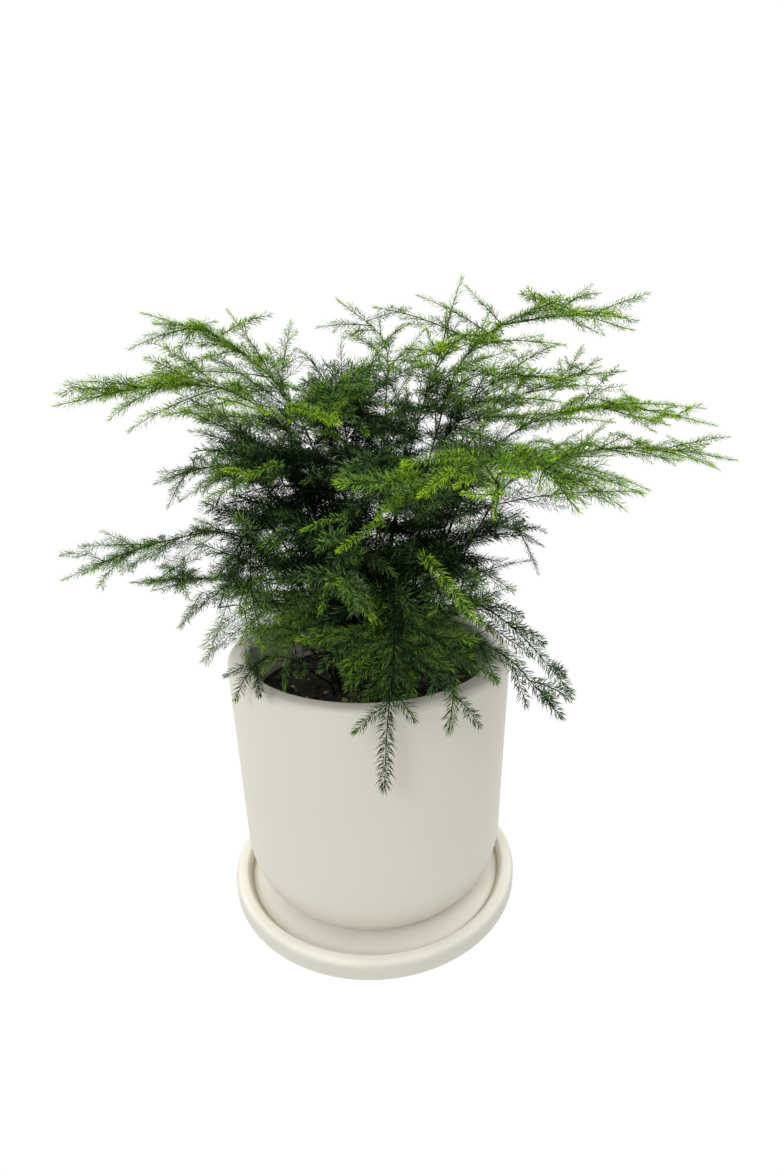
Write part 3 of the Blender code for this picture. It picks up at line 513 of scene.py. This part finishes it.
class Growth:
    """Triangles of one frond as they grow, with what its colours need at each point.

    The three numbers of each point's growth are how young it is, less any painted shade deep in the plant,
    how far along its needle, and 1 on stems.
    """

    def __init__(self):
        self.parts, self.count = [], 0

    def add(self, points, triangles, growth, palette):
        self.parts.append((points, triangles + self.count, growth, palette))
        self.count += len(points)

    def tube(self, path, radii, youth, sides):
        """A closed tube along a path, from its root radius and youth to those of its tip."""
        ahead = np.gradient(path, axis=0)
        ahead /= norm(ahead, axis=1)[:, None]
        side, top = sides_of(ahead)
        radius = np.linspace(*radii, len(path))
        turn = (np.arange(sides) + TUBE_TURN) * 2 * pi / sides
        rings = (
            path[:, None, :]
            + side[:, None, :] * (radius[:, None] * np.cos(turn))[..., None]
            + top[:, None, :] * (radius[:, None] * np.sin(turn))[..., None]
        ).reshape(-1, 3)
        first = np.arange(len(path) - 1)[:, None] * sides
        here = (first + np.arange(sides)).ravel()
        nxt = (first + (np.arange(sides) + 1) % sides).ravel()
        walls = np.vstack([
            np.column_stack([here, nxt, nxt + sides]), np.column_stack([here, nxt + sides, here + sides]),
        ])
        fan = np.array([(0, i + 1, i) for i in range(1, sides - 1)])
        last = len(rings) - sides
        caps = np.vstack([fan, fan[:, ::-1] + last])
        aged = np.repeat(np.clip(np.linspace(*youth, len(path)), 0, 1), sides)
        growth = np.column_stack([aged, np.zeros(len(rings)), np.ones(len(rings))])
        u = across_palette(aged) + PALETTE_STEP * np.tile(np.cos(turn), len(path))
        ring_v = np.repeat(np.array(PALETTE_STEMS)[np.arange(len(path)) % 2], sides)
        v = ring_v + PALETTE_STEP * np.tile(np.sin(turn), len(path))
        self.add(rings, np.vstack([walls, caps]), growth, np.column_stack([u, v]))

    def needles(self, root, way, out, length, width, youth):
        """Slim needles of four faces each: two outside, which meet at the widest place, and two inside."""
        half = np.cross(way, out) * (width[:, None] / 2)
        middle = root + way * (BULGE_AT * length[:, None]) + out * width[:, None] * BULGE
        corners = [root, middle + half, middle - half, root + way * length[:, None]]
        shape = np.array([(0, 1, 2), (3, 2, 1), (0, 3, 1), (0, 2, 3)])
        self.add_needles(corners, shape, (0.0, BULGE_AT, BULGE_AT, 1.0), (0.0, -1.0, 1.0, 0.0), youth)

    def curved_needles(self, root, way, out, length, width, youth):
        """Needles of six faces each, bent towards the tip of their shoot, for what hangs nearest the eye."""
        across = np.cross(way, out)
        middle = root + (way * BEND_AT + out * BEND) * length[:, None]
        half = width[:, None] / 2
        ring = [middle + (out * cos(a) + across * sin(a)) * half for a in TRIANGLE]
        corners = [root, *ring, root + way * length[:, None]]
        shape = np.array([(0, 2, 1), (0, 3, 2), (0, 1, 3), (4, 1, 2), (4, 2, 3), (4, 3, 1)])
        self.add_needles(corners, shape, (0.0, *RING_SHARES, 1.0), (0.0, 0.0, 1.0, -1.0, 0.0), youth)

    def add_needles(self, corners, shape, shares, sides, youth):
        count, each = len(youth), len(shares)
        triangles = (np.arange(count)[:, None, None] * each + shape).reshape(-1, 3)
        youth, share = np.repeat(youth, each), np.tile(shares, count)
        u = across_palette(youth) + PALETTE_STEP * np.tile(sides, count)
        v = PALETTE_NEEDLES[0] + (PALETTE_NEEDLES[1] - PALETTE_NEEDLES[0]) * share
        growth = np.column_stack([youth, share, np.zeros(count * each)])
        self.add(np.stack(corners, axis=1).reshape(-1, 3), triangles, growth, np.column_stack([u, v]))

    def mesh(self, name):
        points, triangles, growth, palette = (np.vstack(rows) for rows in zip(*self.parts))
        points *= MM
        mesh = bpy.data.meshes.new(name)
        mesh.vertices.add(len(points))
        mesh.vertices.foreach_set("co", points.astype(np.float32).ravel())
        mesh.loops.add(len(triangles) * 3)
        mesh.loops.foreach_set("vertex_index", triangles.astype(np.int32).ravel())
        mesh.polygons.add(len(triangles))
        mesh.polygons.foreach_set("loop_start", np.arange(0, len(triangles) * 3, 3, dtype=np.int32))
        mesh.update(calc_edges=True)
        colour = mesh.color_attributes.new("growth", "FLOAT_COLOR", "POINT")
        rows = np.column_stack([growth, np.ones(len(points))])
        colour.data.foreach_set("color", rows.astype(np.float32).ravel())
        layer = mesh.uv_layers.new(name="OFBake")
        layer.data.foreach_set("uv", palette[triangles.ravel()].astype(np.float32).ravel())
        mesh.shade_smooth()
        return mesh


def painted_core_shade(points):
    """How deep points lie in the plant, which sets the painted shade of the needles there: 1 in its middle, 0
    outside its core.
    """
    return np.clip((CORE_EDGE - norm((points - CORE_AT) / CORE_REACH, axis=-1)) / CORE_FADE, 0, 1)


def clothe(growth, cover, path, youth, rng, start=0, size=1):
    """Covers a shoot with needles on all its sides, from a start distance to its tip."""
    reached = along(path)
    length = reached[-1]
    count = int((length - start) * cover.per_mm)
    if count < FEWEST_NEEDLES:
        return
    at = start + (length - start) * (np.arange(count) + rng.uniform(*NEEDLE_PLACE, count)) / count
    index = np.clip(np.searchsorted(reached, at, side="right") - 1, 0, len(path) - 2)
    step = np.diff(path, axis=0)
    ahead = (step / norm(step, axis=1)[:, None])[index]
    root = path[index] + ahead * (at - reached[index])[:, None]
    side, top = sides_of(ahead)
    turn = np.arange(count) * GOLDEN_TURN + rng.normal(0, TURN_SPREAD, count) + rng.uniform(0, 2 * pi)
    out = side * np.cos(turn)[:, None] + top * np.sin(turn)[:, None]
    near_tip = np.clip(1 - (length - at) / cover.tail, 0, 1)
    lean = NEEDLE_LEAN + (NEEDLE_LEAN_TIP - NEEDLE_LEAN) * near_tip + rng.normal(0, LEAN_SPREAD, count)
    way = ahead * np.cos(lean)[:, None] + out * np.sin(lean)[:, None]
    outward = out * np.cos(lean)[:, None] - ahead * np.sin(lean)[:, None]
    reach = size * rng.uniform(*cover.lengths, count) * (1 - TIP_SHORTENING * near_tip)
    tint = youth + rng.normal(0, TINT_OF_SHOOT) + rng.normal(0, TINT_OF_NEEDLE, count)
    # painted shade: needles deep in the plant are coloured darker
    tint += cover.tip * near_tip - cover.shade * painted_core_shade(root)
    place = growth.curved_needles if cover.curved else growth.needles
    place(root, way, outward, reach, cover.width * rng.uniform(*NEEDLE_WIDTH, count), np.clip(tint, 0, 1))


def needled_limb(growth, cover, path, youth, rng, sides=4, start=0, size=1):
    growth.tube(path, LIMB_RADII, youth + AGE_OF_LIMB, sides)
    clothe(growth, cover, path, youth, rng, start, size)


def side_shoots(path, kind, fullness, rng):
    """Shoots on both sides of a path, longer near its root, each with the share of it where they leave."""
    length = along(path)[-1]
    shoots = []
    turn = rng.choice((-1, 1))
    at = kind.first * rng.uniform(*SHOOT_FIRST)
    while at < length - kind.last:
        root, ahead = point_at(path, at)
        side = unit(np.cross(ahead, UP))
        lift = np.cross(side, ahead)
        lean = SHOOT_LEAN * rng.uniform(*SHOOT_LEANS)
        reach = min(kind.longest, kind.share * (length - at) + SHOOT_SHORTEST) * rng.uniform(*SHOOT_REACH)
        way = unit(ahead * cos(lean) + side * turn * sin(lean) + lift * rng.normal(*SHOOT_RISE))
        tip = root + unit(way + ahead * SHOOT_RETURN) * reach - UP * kind.sag * reach
        shoots.append((arc(root, root + way * reach * 0.5, tip, SHOOT_POINTS), at / length))
        turn = -turn if rng.uniform() < SHOOT_SWITCH else turn
        at += kind.every / fullness * rng.uniform(*SHOOT_STEP)
    return shoots


def free_limbs(stem, span, every, lengths, sag, headings, rng):
    """Limbs that leave a stem at these headings, in radians about its axis, and stay clear of the pot."""
    limbs = []
    at, high = np.array(span) * along(stem)[-1]
    while at < high:
        root = point_at(stem, at)[0]
        turn = rng.uniform(*headings)
        way = unit(np.array((cos(turn), sin(turn), rng.normal(*FREE_RISE))))
        grown = FREE_GROWS[0] + FREE_GROWS[1] * at / high
        reach = rng.uniform(*lengths) * min(1.0, grown, FREE_FALLS[0] - FREE_FALLS[1] * at / high)
        tip = root + way * reach - UP * rng.uniform(*sag) * reach
        path = arc(root, root + way * reach * 0.5, tip, FREE_POINTS)
        if all(free_of_pot(p, FREE_SPARE) for p in path[2:]):
            limbs.append(path)
        at += every * rng.uniform(*FREE_STEP)
    return limbs


def crosses_lane(path):
    """Whether a path comes into a lane that is kept free."""
    for start, end, radius in LANES:
        start, way = np.array(start, float), np.subtract(end, start).astype(float)
        share = np.clip((path - start) @ way / (way @ way), 0, 1)
        if (norm(path - start - share[:, None] * way, axis=1) < radius).any():
            return True
    return False


def foxtails(growth, plant, leafy, youth, size, rng):
    """The foxtails of one frond: its hanging end and its limbs."""
    clothe(growth, FOXTAIL, leafy, youth, rng, size=size)
    for path in plant["fine_limbs"]:
        needled_limb(growth, FOXTAIL, path, youth, rng, start=BARE_ROOT, size=FOXTAIL_LIMB_SIZE * size)


def skirt(growth, stem, youth, low, high, rng):
    """Foxtails that spread forward from the lower part of a stem, over the soil but not over the rim."""
    headings = radians(low), radians(high)
    for path in free_limbs(stem, SKIRT_SPAN, SKIRT_EVERY, SKIRT_LENGTH, SKIRT_SAG, headings, rng):
        x, y, z = path[-1]
        if (z > SKIRT_LOWEST or hypot(x, y) < OPENING_R) and not crosses_lane(path):
            needled_limb(growth, SKIRT, path, youth, rng, start=BARE_ROOT)


def sprays(growth, plant, leafy, youth, fullness, size, rng):
    """The limbs, side limbs and shoots of one frond that isn't a foxtail."""
    side_limbs = [limb for limb, _ in side_shoots(leafy, SIDE_LIMBS, fullness, rng)]
    for path in [leafy] + plant["fine_limbs"] + side_limbs:
        if path is not leafy:
            growth.tube(path, LIMB_RADII, youth + AGE_OF_LIMB, sides=4)
        clothe(growth, SPRAY, path, youth, rng, start=BARE_SPRAY * along(path)[-1], size=size)
        for shoot, share in side_shoots(path, SPRAY_SHOOTS, fullness, rng):
            # partly painted shade: shoots near the limb's root are coloured darker
            tint = youth + TINT_OF_LIMB[0] + (TINT_OF_LIMB[1] - TINT_OF_LIMB[0]) * share
            growth.tube(shoot, SHOOT_RADII, youth + AGE_OF_SHOOT, sides=3)
            clothe(growth, TWIG, shoot, tint, rng, size=size)


def inner_growth(growth, stem, youth, fullness, size, rng):
    """Limbs and shoots on all sides of a stem, with fewer and wider needles."""
    every, around = INNER_EVERY / fullness, (0, 2 * pi)
    for path in free_limbs(stem, INNER_SPAN, every, INNER_LENGTH, INNER_SAG, around, rng):
        needled_limb(growth, INNER, path, youth, rng, sides=3, size=size)
        for shoot, _ in side_shoots(path, INNER_SHOOTS, 1, rng):
            growth.tube(shoot, SHOOT_RADII, youth + AGE_OF_SHOOT, sides=3)
            clothe(growth, INNER, shoot, youth, rng, size=size)


def accents(growth, plant, stem, rng):
    """The young sprigs in front, each from the nearest limb or stem of its frond."""
    branches = np.vstack([stem[SPRIG_FROM:]] + plant["fine_limbs"])
    for youth, size, root, tip in ACCENTS.get(plant["name"], []):
        root, tip = np.array(root, float), np.array(tip, float)
        start = branches[np.argmin(norm(branches - root, axis=1))]
        path = smooth_path([start, root, tip], SPRIG_POINTS)
        bare = BARE_SPRIG * norm(root - start)
        needled_limb(growth, ACCENT, path, youth, rng, start=bare, size=size)


def grow(plant, number):
    """One frond's whole mesh: stem, limbs, side limbs, branchlets and needles."""
    rng = np.random.default_rng(SEED + number)
    growth = Growth()
    name = plant["name"]
    youth, fullness, size = LOOKS[name]
    stem = smooth_path(plant["stem"], FINE_STEM_POINTS)
    radii = FOXTAIL_RADII if name in FOXTAILS else STEM_RADII
    growth.tube(stem, radii, youth + AGE_OF_STEM, sides=6)
    plant["fine_limbs"] = []
    for start, middle, tip in plant["limbs"]:
        nearest = stem[np.argmin(norm(stem - start, axis=1))]
        plant["fine_limbs"].append(arc(nearest, middle, tip, FINE_LIMB_POINTS))
    for tip in FILLERS.get(name, []):
        tip = np.array(tip, float)
        start = point_at(stem, FILLER_FROM * along(stem)[-1])[0]
        plant["fine_limbs"].append(arc(start, (start + tip) / 2 + FILLER_RISE * UP, tip, FINE_LIMB_POINTS))
    if name in FOXTAILS:
        leafy = stem[along(stem) >= FOXTAIL_FROM * along(stem)[-1]]
        foxtails(growth, plant, leafy, youth, size, rng)
    else:
        leafy = stem[along(stem) >= along(plant["stem"])[-LEAFY_POINTS]]
        sprays(growth, plant, leafy, youth, fullness, size, rng)
        inner_growth(growth, stem, youth, fullness, size, rng)
    if name in SKIRTS:
        skirt(growth, stem, *SKIRTS[name], rng)
    accents(growth, plant, stem, rng)
    return growth


def in_scene(name, data):
    obj = bpy.data.objects.new(name, data)
    bpy.context.scene.collection.objects.link(obj)
    return obj


class Shading:
    """The nodes of a material or a world, each linked as it is made."""

    def __init__(self, owner):
        owner.use_nodes = True
        self.owner, self.nodes, self.links = owner, owner.node_tree.nodes, owner.node_tree.links

    def add(self, kind, output, inputs, **settings):
        """The output of a new node, with these settings and inputs."""
        node = self.nodes.new("ShaderNode" + kind)
        for name, value in settings.items():
            setattr(node, name, value)
        self.fill(node, inputs)
        return node.outputs[output]

    def fill(self, node, inputs):
        """Sets each input to its value, or links it where the value is another node's output."""
        for name, value in inputs.items():
            if isinstance(value, bpy.types.NodeSocket):
                self.links.new(value, node.inputs[name])
            else:
                node.inputs[name].default_value = value

    def finish(self, **inputs):
        """The material, after these inputs of its shader are set."""
        names = {name.replace("_", " "): value for name, value in inputs.items()}
        self.fill(self.nodes["Principled BSDF"], names)
        return self.owner

    def here(self):
        """The place of each point on its object, in metres."""
        return self.add("TexCoord", "Object", {})

    def channels(self, name):
        """The three numbers that a colour attribute holds at each point."""
        colour = self.add("Attribute", "Color", {}, attribute_name=name)
        return self.parts("SeparateColor", "Color", colour)

    def parts(self, kind, source, value):
        return self.add(kind, 0, {source: value}).node.outputs

    def mapped(self, value, start, end, low=0.0, high=1.0):
        """A value carried over from the range start to end to the range low to high."""
        sides = {"Value": value, "From Min": start, "From Max": end, "To Min": low, "To Max": high}
        return self.add("MapRange", "Result", sides)

    def ramp(self, factor, stops):
        colour = self.add("ValToRGB", "Color", {"Fac": factor})
        elements = colour.node.color_ramp.elements
        while len(elements) < len(stops):
            elements.new(0.5)
        for element, (position, tint) in zip(elements, stops):
            element.position = position
            element.color = (*tint, 1)
        return colour

    def mixed(self, factor, a, b, blend="MIX"):
        """Two colours mixed. The node's sockets for colours are 6 and 7."""
        return self.add("Mix", 2, {0: factor, 6: a, 7: b}, data_type="RGBA", blend_type=blend)

    def noise(self, scale, detail):
        return self.add("TexNoise", "Fac", {"Scale": scale, "Detail": detail, "Vector": self.here()})

    def bump(self, height, strength, distance):
        return self.add("Bump", "Normal", {"Height": height, "Strength": strength, "Distance": distance})


def foliage_material():
    """Needles from blackish green, darkest where painted shade lies deep in the plant, to yellow green, paler
    at their tips, partly as painted highlight, on brown-green stems.
    """
    look = Shading(bpy.data.materials.new("fern_foliage"))
    youth, share, woody = look.channels("growth")
    green = look.ramp(youth, [
        (0.0, (0.002, 0.009, 0.002)), (0.2, (0.006, 0.026, 0.004)), (0.4, (0.029, 0.075, 0.019)),
        (0.55, (0.062, 0.152, 0.024)), (0.75, (0.145, 0.345, 0.008)), (1.0, (0.360, 0.620, 0.012)),
    ])
    # Partly painted highlight: the greyish pale tips of older needles stand in for their sheen
    pale_tip_and_highlight = look.ramp(youth, [
        (0.0, (0.004, 0.014, 0.004)), (0.2, (0.018, 0.052, 0.012)), (0.4, (0.110, 0.185, 0.082)),
        (0.55, (0.165, 0.285, 0.080)), (0.75, (0.225, 0.430, 0.034)), (1.0, (0.440, 0.680, 0.035)),
    ])
    wood = look.ramp(youth, [
        (0.0, (0.010, 0.011, 0.006)), (0.5, (0.026, 0.034, 0.013)), (1.0, (0.090, 0.160, 0.020)),
    ])
    colour = look.mixed(woody, look.mixed(share, green, pale_tip_and_highlight), wood)
    return look.finish(Base_Color=colour, Roughness=0.55, Specular_IOR_Level=0.02)


def glaze_material(name, rings, foot=0.0):
    """Satin cream ceramic with faint clouding and an uneven glaze.

    It is coloured by radius, in rings of (radius, colour), which on the saucer hold painted light and shade,
    and is darker below the height of its foot.
    """
    look = Shading(bpy.data.materials.new(name))
    colour = (*rings[0][1], 1)
    if len(rings) > 1:
        # Painted light and shade: the saucer's well and lip are coloured brighter and its side darker, ring
        # by radius
        flat = look.add("VectorMath", "Vector", {0: look.here(), 1: (1, 1, 0)}, operation="MULTIPLY")
        radius = look.add("VectorMath", "Value", {0: flat}, operation="LENGTH")
        spread = look.mapped(radius, 0.0, SAUCER_R * MM)
        colour = look.ramp(spread, [(r / SAUCER_R, tint) for r, tint in rings])
    if foot:
        height = look.parts("SeparateXYZ", "Vector", look.here())["Z"]
        below = look.mapped(height, foot * MM, (foot + FOOT_FADE) * MM)
        colour = look.mixed(below, (*FOOT_TINT, 1), colour)
    clouds = look.ramp(look.noise(scale=14.0, detail=3.0), [(0.3, CLOUD_DARK), (0.7, CLOUD_PALE)])
    return look.finish(
        Base_Color=look.mixed(1.0, colour, clouds, "MULTIPLY"),
        Roughness=look.mapped(look.noise(scale=260.0, detail=2.0), 0.0, 1.0, *GLAZE_ROUGHNESS),
        Normal=look.bump(look.noise(scale=45.0, detail=2.0), strength=0.12, distance=0.0006),
        Specular_IOR_Level=0.4,
    )


def soil_material():
    look = Shading(bpy.data.materials.new("potting_soil"))
    crumbs = look.noise(scale=420.0, detail=6.0)
    colour = look.ramp(crumbs, [
        (0.34, (0.002, 0.002, 0.001)), (0.55, (0.009, 0.007, 0.004)), (0.66, (0.035, 0.028, 0.012)),
        (0.76, (0.160, 0.145, 0.065)),
    ])
    relief = look.bump(crumbs, strength=0.8, distance=0.0012)
    return look.finish(Base_Color=colour, Roughness=0.9, Normal=relief)


def chip_material():
    """Bark brown to black, with one in five chips a mossy or mineral yellow grey."""
    look = Shading(bpy.data.materials.new("soil_chips"))
    colour = look.ramp(look.channels("chip")["Red"], [
        (0.0, (0.004, 0.003, 0.002)), (0.5, (0.026, 0.019, 0.010)), (0.8, (0.090, 0.080, 0.034)),
        (0.92, (0.200, 0.185, 0.075)), (1.0, (0.400, 0.370, 0.190)),
    ])
    grains = look.noise(scale=900.0, detail=3.0)
    grain = look.ramp(grains, [(0.3, (0.55, 0.55, 0.55)), (0.7, (1.0, 1.0, 1.0))])
    return look.finish(Base_Color=look.mixed(1.0, colour, grain, "MULTIPLY"), Roughness=0.85)


def quarter(centre, reach, start, end, count):
    """Points on an ellipse's arc, from the start angle to the end angle in degrees, 0 outward and 90 up."""
    angles = np.radians(np.linspace(start, end, count))
    return [(centre[0] + reach[0] * cos(a), centre[1] + reach[1] * sin(a)) for a in angles]


def rounded(r, z, edge, start, end, count):
    return quarter((r, z), (edge, edge), start, end, count)


def turned(name, profile, closed, material):
    """A turned piece from its profile of (radius, height) pairs."""
    mesh = bpy.data.meshes.new(name)
    count = len(profile)
    edges = [(i, i + 1) for i in range(count - 1)] + ([(count - 1, 0)] if closed else [])
    mesh.from_pydata([(r * MM, 0, z * MM) for r, z in profile], edges, [])
    obj = in_scene(name, mesh)
    screw = obj.modifiers.new("Turn", "SCREW")
    screw.steps = TURNED_SEGMENTS
    screw.render_steps = TURNED_SEGMENTS
    screw.use_merge_vertices = True
    screw.merge_threshold = MERGE_WITHIN
    bpy.context.view_layer.update()
    solid = bpy.data.meshes.new_from_object(obj.evaluated_get(bpy.context.evaluated_depsgraph_get()))
    obj.modifiers.clear()
    obj.data = solid
    solid.name = name
    solid.shade_smooth()
    solid.set_sharp_from_angle(angle=SHARP_ANGLE)
    solid.materials.append(material)
    return obj


def build_saucer():
    edge, lip_edge, well_edge, middle = SAUCER_EDGE, SAUCER_LIP_EDGE, SAUCER_WELL_EDGE, SAUCER_MIDDLE_R
    well = rounded(SAUCER_WELL_R - well_edge, SAUCER_FLOOR + well_edge, well_edge, -90, -20, WELL_POINTS)
    lip = rounded(SAUCER_LIP_R + lip_edge, SAUCER_HEIGHT - lip_edge, lip_edge, 180, 90, LIP_POINTS)
    crown = rounded(SAUCER_R - edge, SAUCER_HEIGHT - edge, edge, 90, 0, EDGE_POINTS)
    heel = rounded(SAUCER_R - edge, edge, edge, 0, -90, EDGE_POINTS)
    profile = [(0, SAUCER_FLOOR), (middle, SAUCER_FLOOR)] + well + lip + crown + heel + [(middle, 0), (0, 0)]
    return turned("saucer_glazed", profile, False, glaze_material("saucer_glaze", SAUCER_PAINTED_LIGHT_AND_SHADE_TINTS, FOOT_LINE))


def build_pot():
    belly_z = POT_BASE_Z + BELLY_DROP
    crown = rounded(RIM_R - RIM_EDGE, RIM_Z - RIM_EDGE, RIM_EDGE, 90, 0, EDGE_POINTS)
    belly = quarter((FOOT_R, belly_z), (WALL_FOOT_R - FOOT_R, BELLY_DROP), 0, -90, BELLY_POINTS)
    ring = FOOT_R - FOOT_RING
    recess_z = POT_BASE_Z + FOOT_RECESS
    base = [(ring, POT_BASE_Z), (ring - FOOT_SLOPE, recess_z), (DRAIN_R, recess_z)]
    inner_z = FLOOR_Z + INNER_DROP
    reach = INNER_R_LOW - INNER_FOOT_R
    hollow = quarter((INNER_FOOT_R, inner_z), (reach, INNER_DROP), -90, 0, HOLLOW_POINTS)
    lip = rounded(OPENING_R + RIM_EDGE, RIM_Z - RIM_EDGE, RIM_EDGE, 180, 90, EDGE_POINTS)
    profile = crown + belly + base + [(DRAIN_R, FLOOR_Z)] + hollow + lip
    return turned("pot_glazed", profile, True, glaze_material("pot_glaze", [(0.0, POT_TINT)]))


def soil_top(x, y):
    """Height of the soil's crumbled surface."""
    lump, crumb, grain = (noise.noise((x * scale, y * scale, z)) for _, scale, z in (LUMPS, CRUMBS, GRAINS))
    rise = LUMPS[0] * lump + CRUMBS[0] * abs(crumb) + GRAINS[0] * grain
    return soil_height(x, y) + rise * min((SOIL_R - hypot(x, y)) / SOIL_FADE, 1.0)


def build_soil():
    """The root ball, with a crumbled surface."""
    inner_z = FLOOR_Z + INNER_DROP
    wall_share = (SOIL_EDGE_Z - inner_z) / (RIM_Z - RIM_EDGE - inner_z)
    edge_r = INNER_R_LOW + (OPENING_R - INNER_R_LOW) * wall_share - TOUCH
    reach = INNER_R_LOW - INNER_FOOT_R
    mound = [(r, soil_height(r, 0)) for r in np.linspace(0, edge_r, SOIL_RINGS)]
    low = quarter((INNER_FOOT_R, inner_z), (reach - TOUCH, INNER_DROP - TOUCH), 0, -90, BALL_POINTS)
    obj = turned("soil_crumbled", mound + low + [(0, FLOOR_Z + TOUCH)], False, soil_material())
    for vertex in obj.data.vertices:
        x, y, z = vertex.co / MM
        if z > SOIL_EDGE_Z - TOUCH and hypot(x, y) < SOIL_R:
            vertex.co.z = soil_top(x, y) * MM
    return obj


def build_chips():
    """Crumbs of bark, moss and mineral that lie half sunk in the soil's surface, as one piece."""
    rng = np.random.default_rng(SEED)
    material = chip_material()
    bm = bmesh.new()
    tint = bm.verts.layers.float_color.new("chip")
    for _ in range(CHIPS):
        away, turn = CHIPS_R * sqrt(rng.uniform()), rng.uniform(0, 2 * pi)
        x, y = away * cos(turn), away * sin(turn)
        size = CHIP_SIZE[0] + (CHIP_SIZE[1] - CHIP_SIZE[0]) * rng.uniform() ** 2
        width, thickness = size * rng.uniform(*CHIP_WIDTH), size * rng.uniform(*CHIP_THICKNESS)
        shape = Matrix.Diagonal((size, width, thickness, 1))
        tilt = Matrix.Rotation(rng.uniform(0, pi), 4, "Z")
        tilt = tilt @ Matrix.Rotation(rng.normal(0, CHIP_TILT), 4, "X")
        place = Matrix.Translation((x, y, soil_top(x, y) + CHIP_RISE * size))
        verts = bmesh.ops.create_icosphere(bm, subdivisions=1, radius=1.0)["verts"]
        kind = float(rng.uniform())
        for vert in verts:
            point = vert.co.normalized() * rng.uniform(*CHIP_ROUGH)
            vert.co = (place @ tilt @ shape @ point) * MM
            vert[tint] = (kind, 0, 0, 1)
    mesh = bpy.data.meshes.new("soil_chips")
    bm.to_mesh(mesh)
    bm.free()
    mesh.materials.append(material)
    return in_scene("soil_chips", mesh)


def build_stage():
    mesh = bpy.data.meshes.new("floor")
    corners = [(x * FLOOR_HALF, y * FLOOR_HALF, 0) for x, y in ((-1, -1), (1, -1), (1, 1), (-1, 1))]
    mesh.from_pydata(corners, [], [(0, 1, 2, 3)])
    floor = in_scene("floor", mesh)
    white = Shading(bpy.data.materials.new("floor_white"))
    mesh.materials.append(white.finish(
        Base_Color=(0, 0, 0, 1), Roughness=1.0, Specular_IOR_Level=0,
        Emission_Color=(1, 1, 1, 1), Emission_Strength=FLOOR_GLOW,
    ))


def add_area(name, at, aim, size, power):
    light = bpy.data.lights.new(name, "AREA")
    light.shape = "DISK"
    light.size = size
    light.energy = power
    way = np.subtract(at, aim)
    side = unit(np.cross(UP, way))
    axes = Matrix((side, unit(np.cross(way, side)), unit(way))).transposed().to_4x4()
    in_scene(name, light).matrix_world = Matrix.Translation(at) @ axes


def build_light():
    """A studio with a bright white back and top, and a dimmer front."""
    world = bpy.data.worlds.new("studio")
    sky = Shading(world)
    way = sky.parts("SeparateXYZ", "Vector", sky.add("TexCoord", "Generated", {}))
    level = sky.mapped(way["Y"], *WORLD_TURN, WORLD_FRONT, WORLD_BACK)
    above = sky.mapped(way["Z"], *WORLD_RISE, 0.0, WORLD_TOP)
    strength = sky.add("Math", "Value", {0: level, 1: above})
    sky.fill(sky.nodes["Background"], {"Strength": strength, "Color": (1, 1, 1, 1)})
    bpy.context.scene.world = world
    for name, light in LIGHTS.items():
        add_area(name, *light)
    bpy.context.scene.view_settings.view_transform = "Standard"


def build_camera():
    ahead = np.array((0, cos(CAMERA_PITCH), -sin(CAMERA_PITCH)))
    right = np.array((1.0, 0, 0))
    top = np.cross(right, ahead)
    c, s = cos(CAMERA_ROLL), sin(CAMERA_ROLL)
    axes = Matrix((right * c + top * s, top * c - right * s, -ahead)).transposed().to_4x4()
    data = bpy.data.cameras.new("photo_camera")
    data.lens = CAMERA_LENS
    data.clip_start = CAMERA_NEAR
    camera = in_scene("photo_camera", data)
    camera.matrix_world = Matrix.Translation([x * MM for x in CAMERA_AT]) @ axes
    bpy.context.scene.camera = camera


def main():
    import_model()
    build_camera()
    build_light()
    build_stage()
    for obj, node in ((build_saucer(), "saucer"), (build_pot(), "pot"), (build_soil(), "soil")):
        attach(obj, "root")
        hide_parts(node)
    chips = build_chips()
    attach(chips, "root")
    foliage = foliage_material()
    for number, plant in enumerate(lay_out()):
        node = "frond_" + plant["name"]
        mesh = grow(plant, number).mesh("fine_" + node)
        mesh.materials.append(foliage)
        obj = in_scene("fine_" + node, mesh)
        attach(obj, "root")
        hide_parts(node)


main()
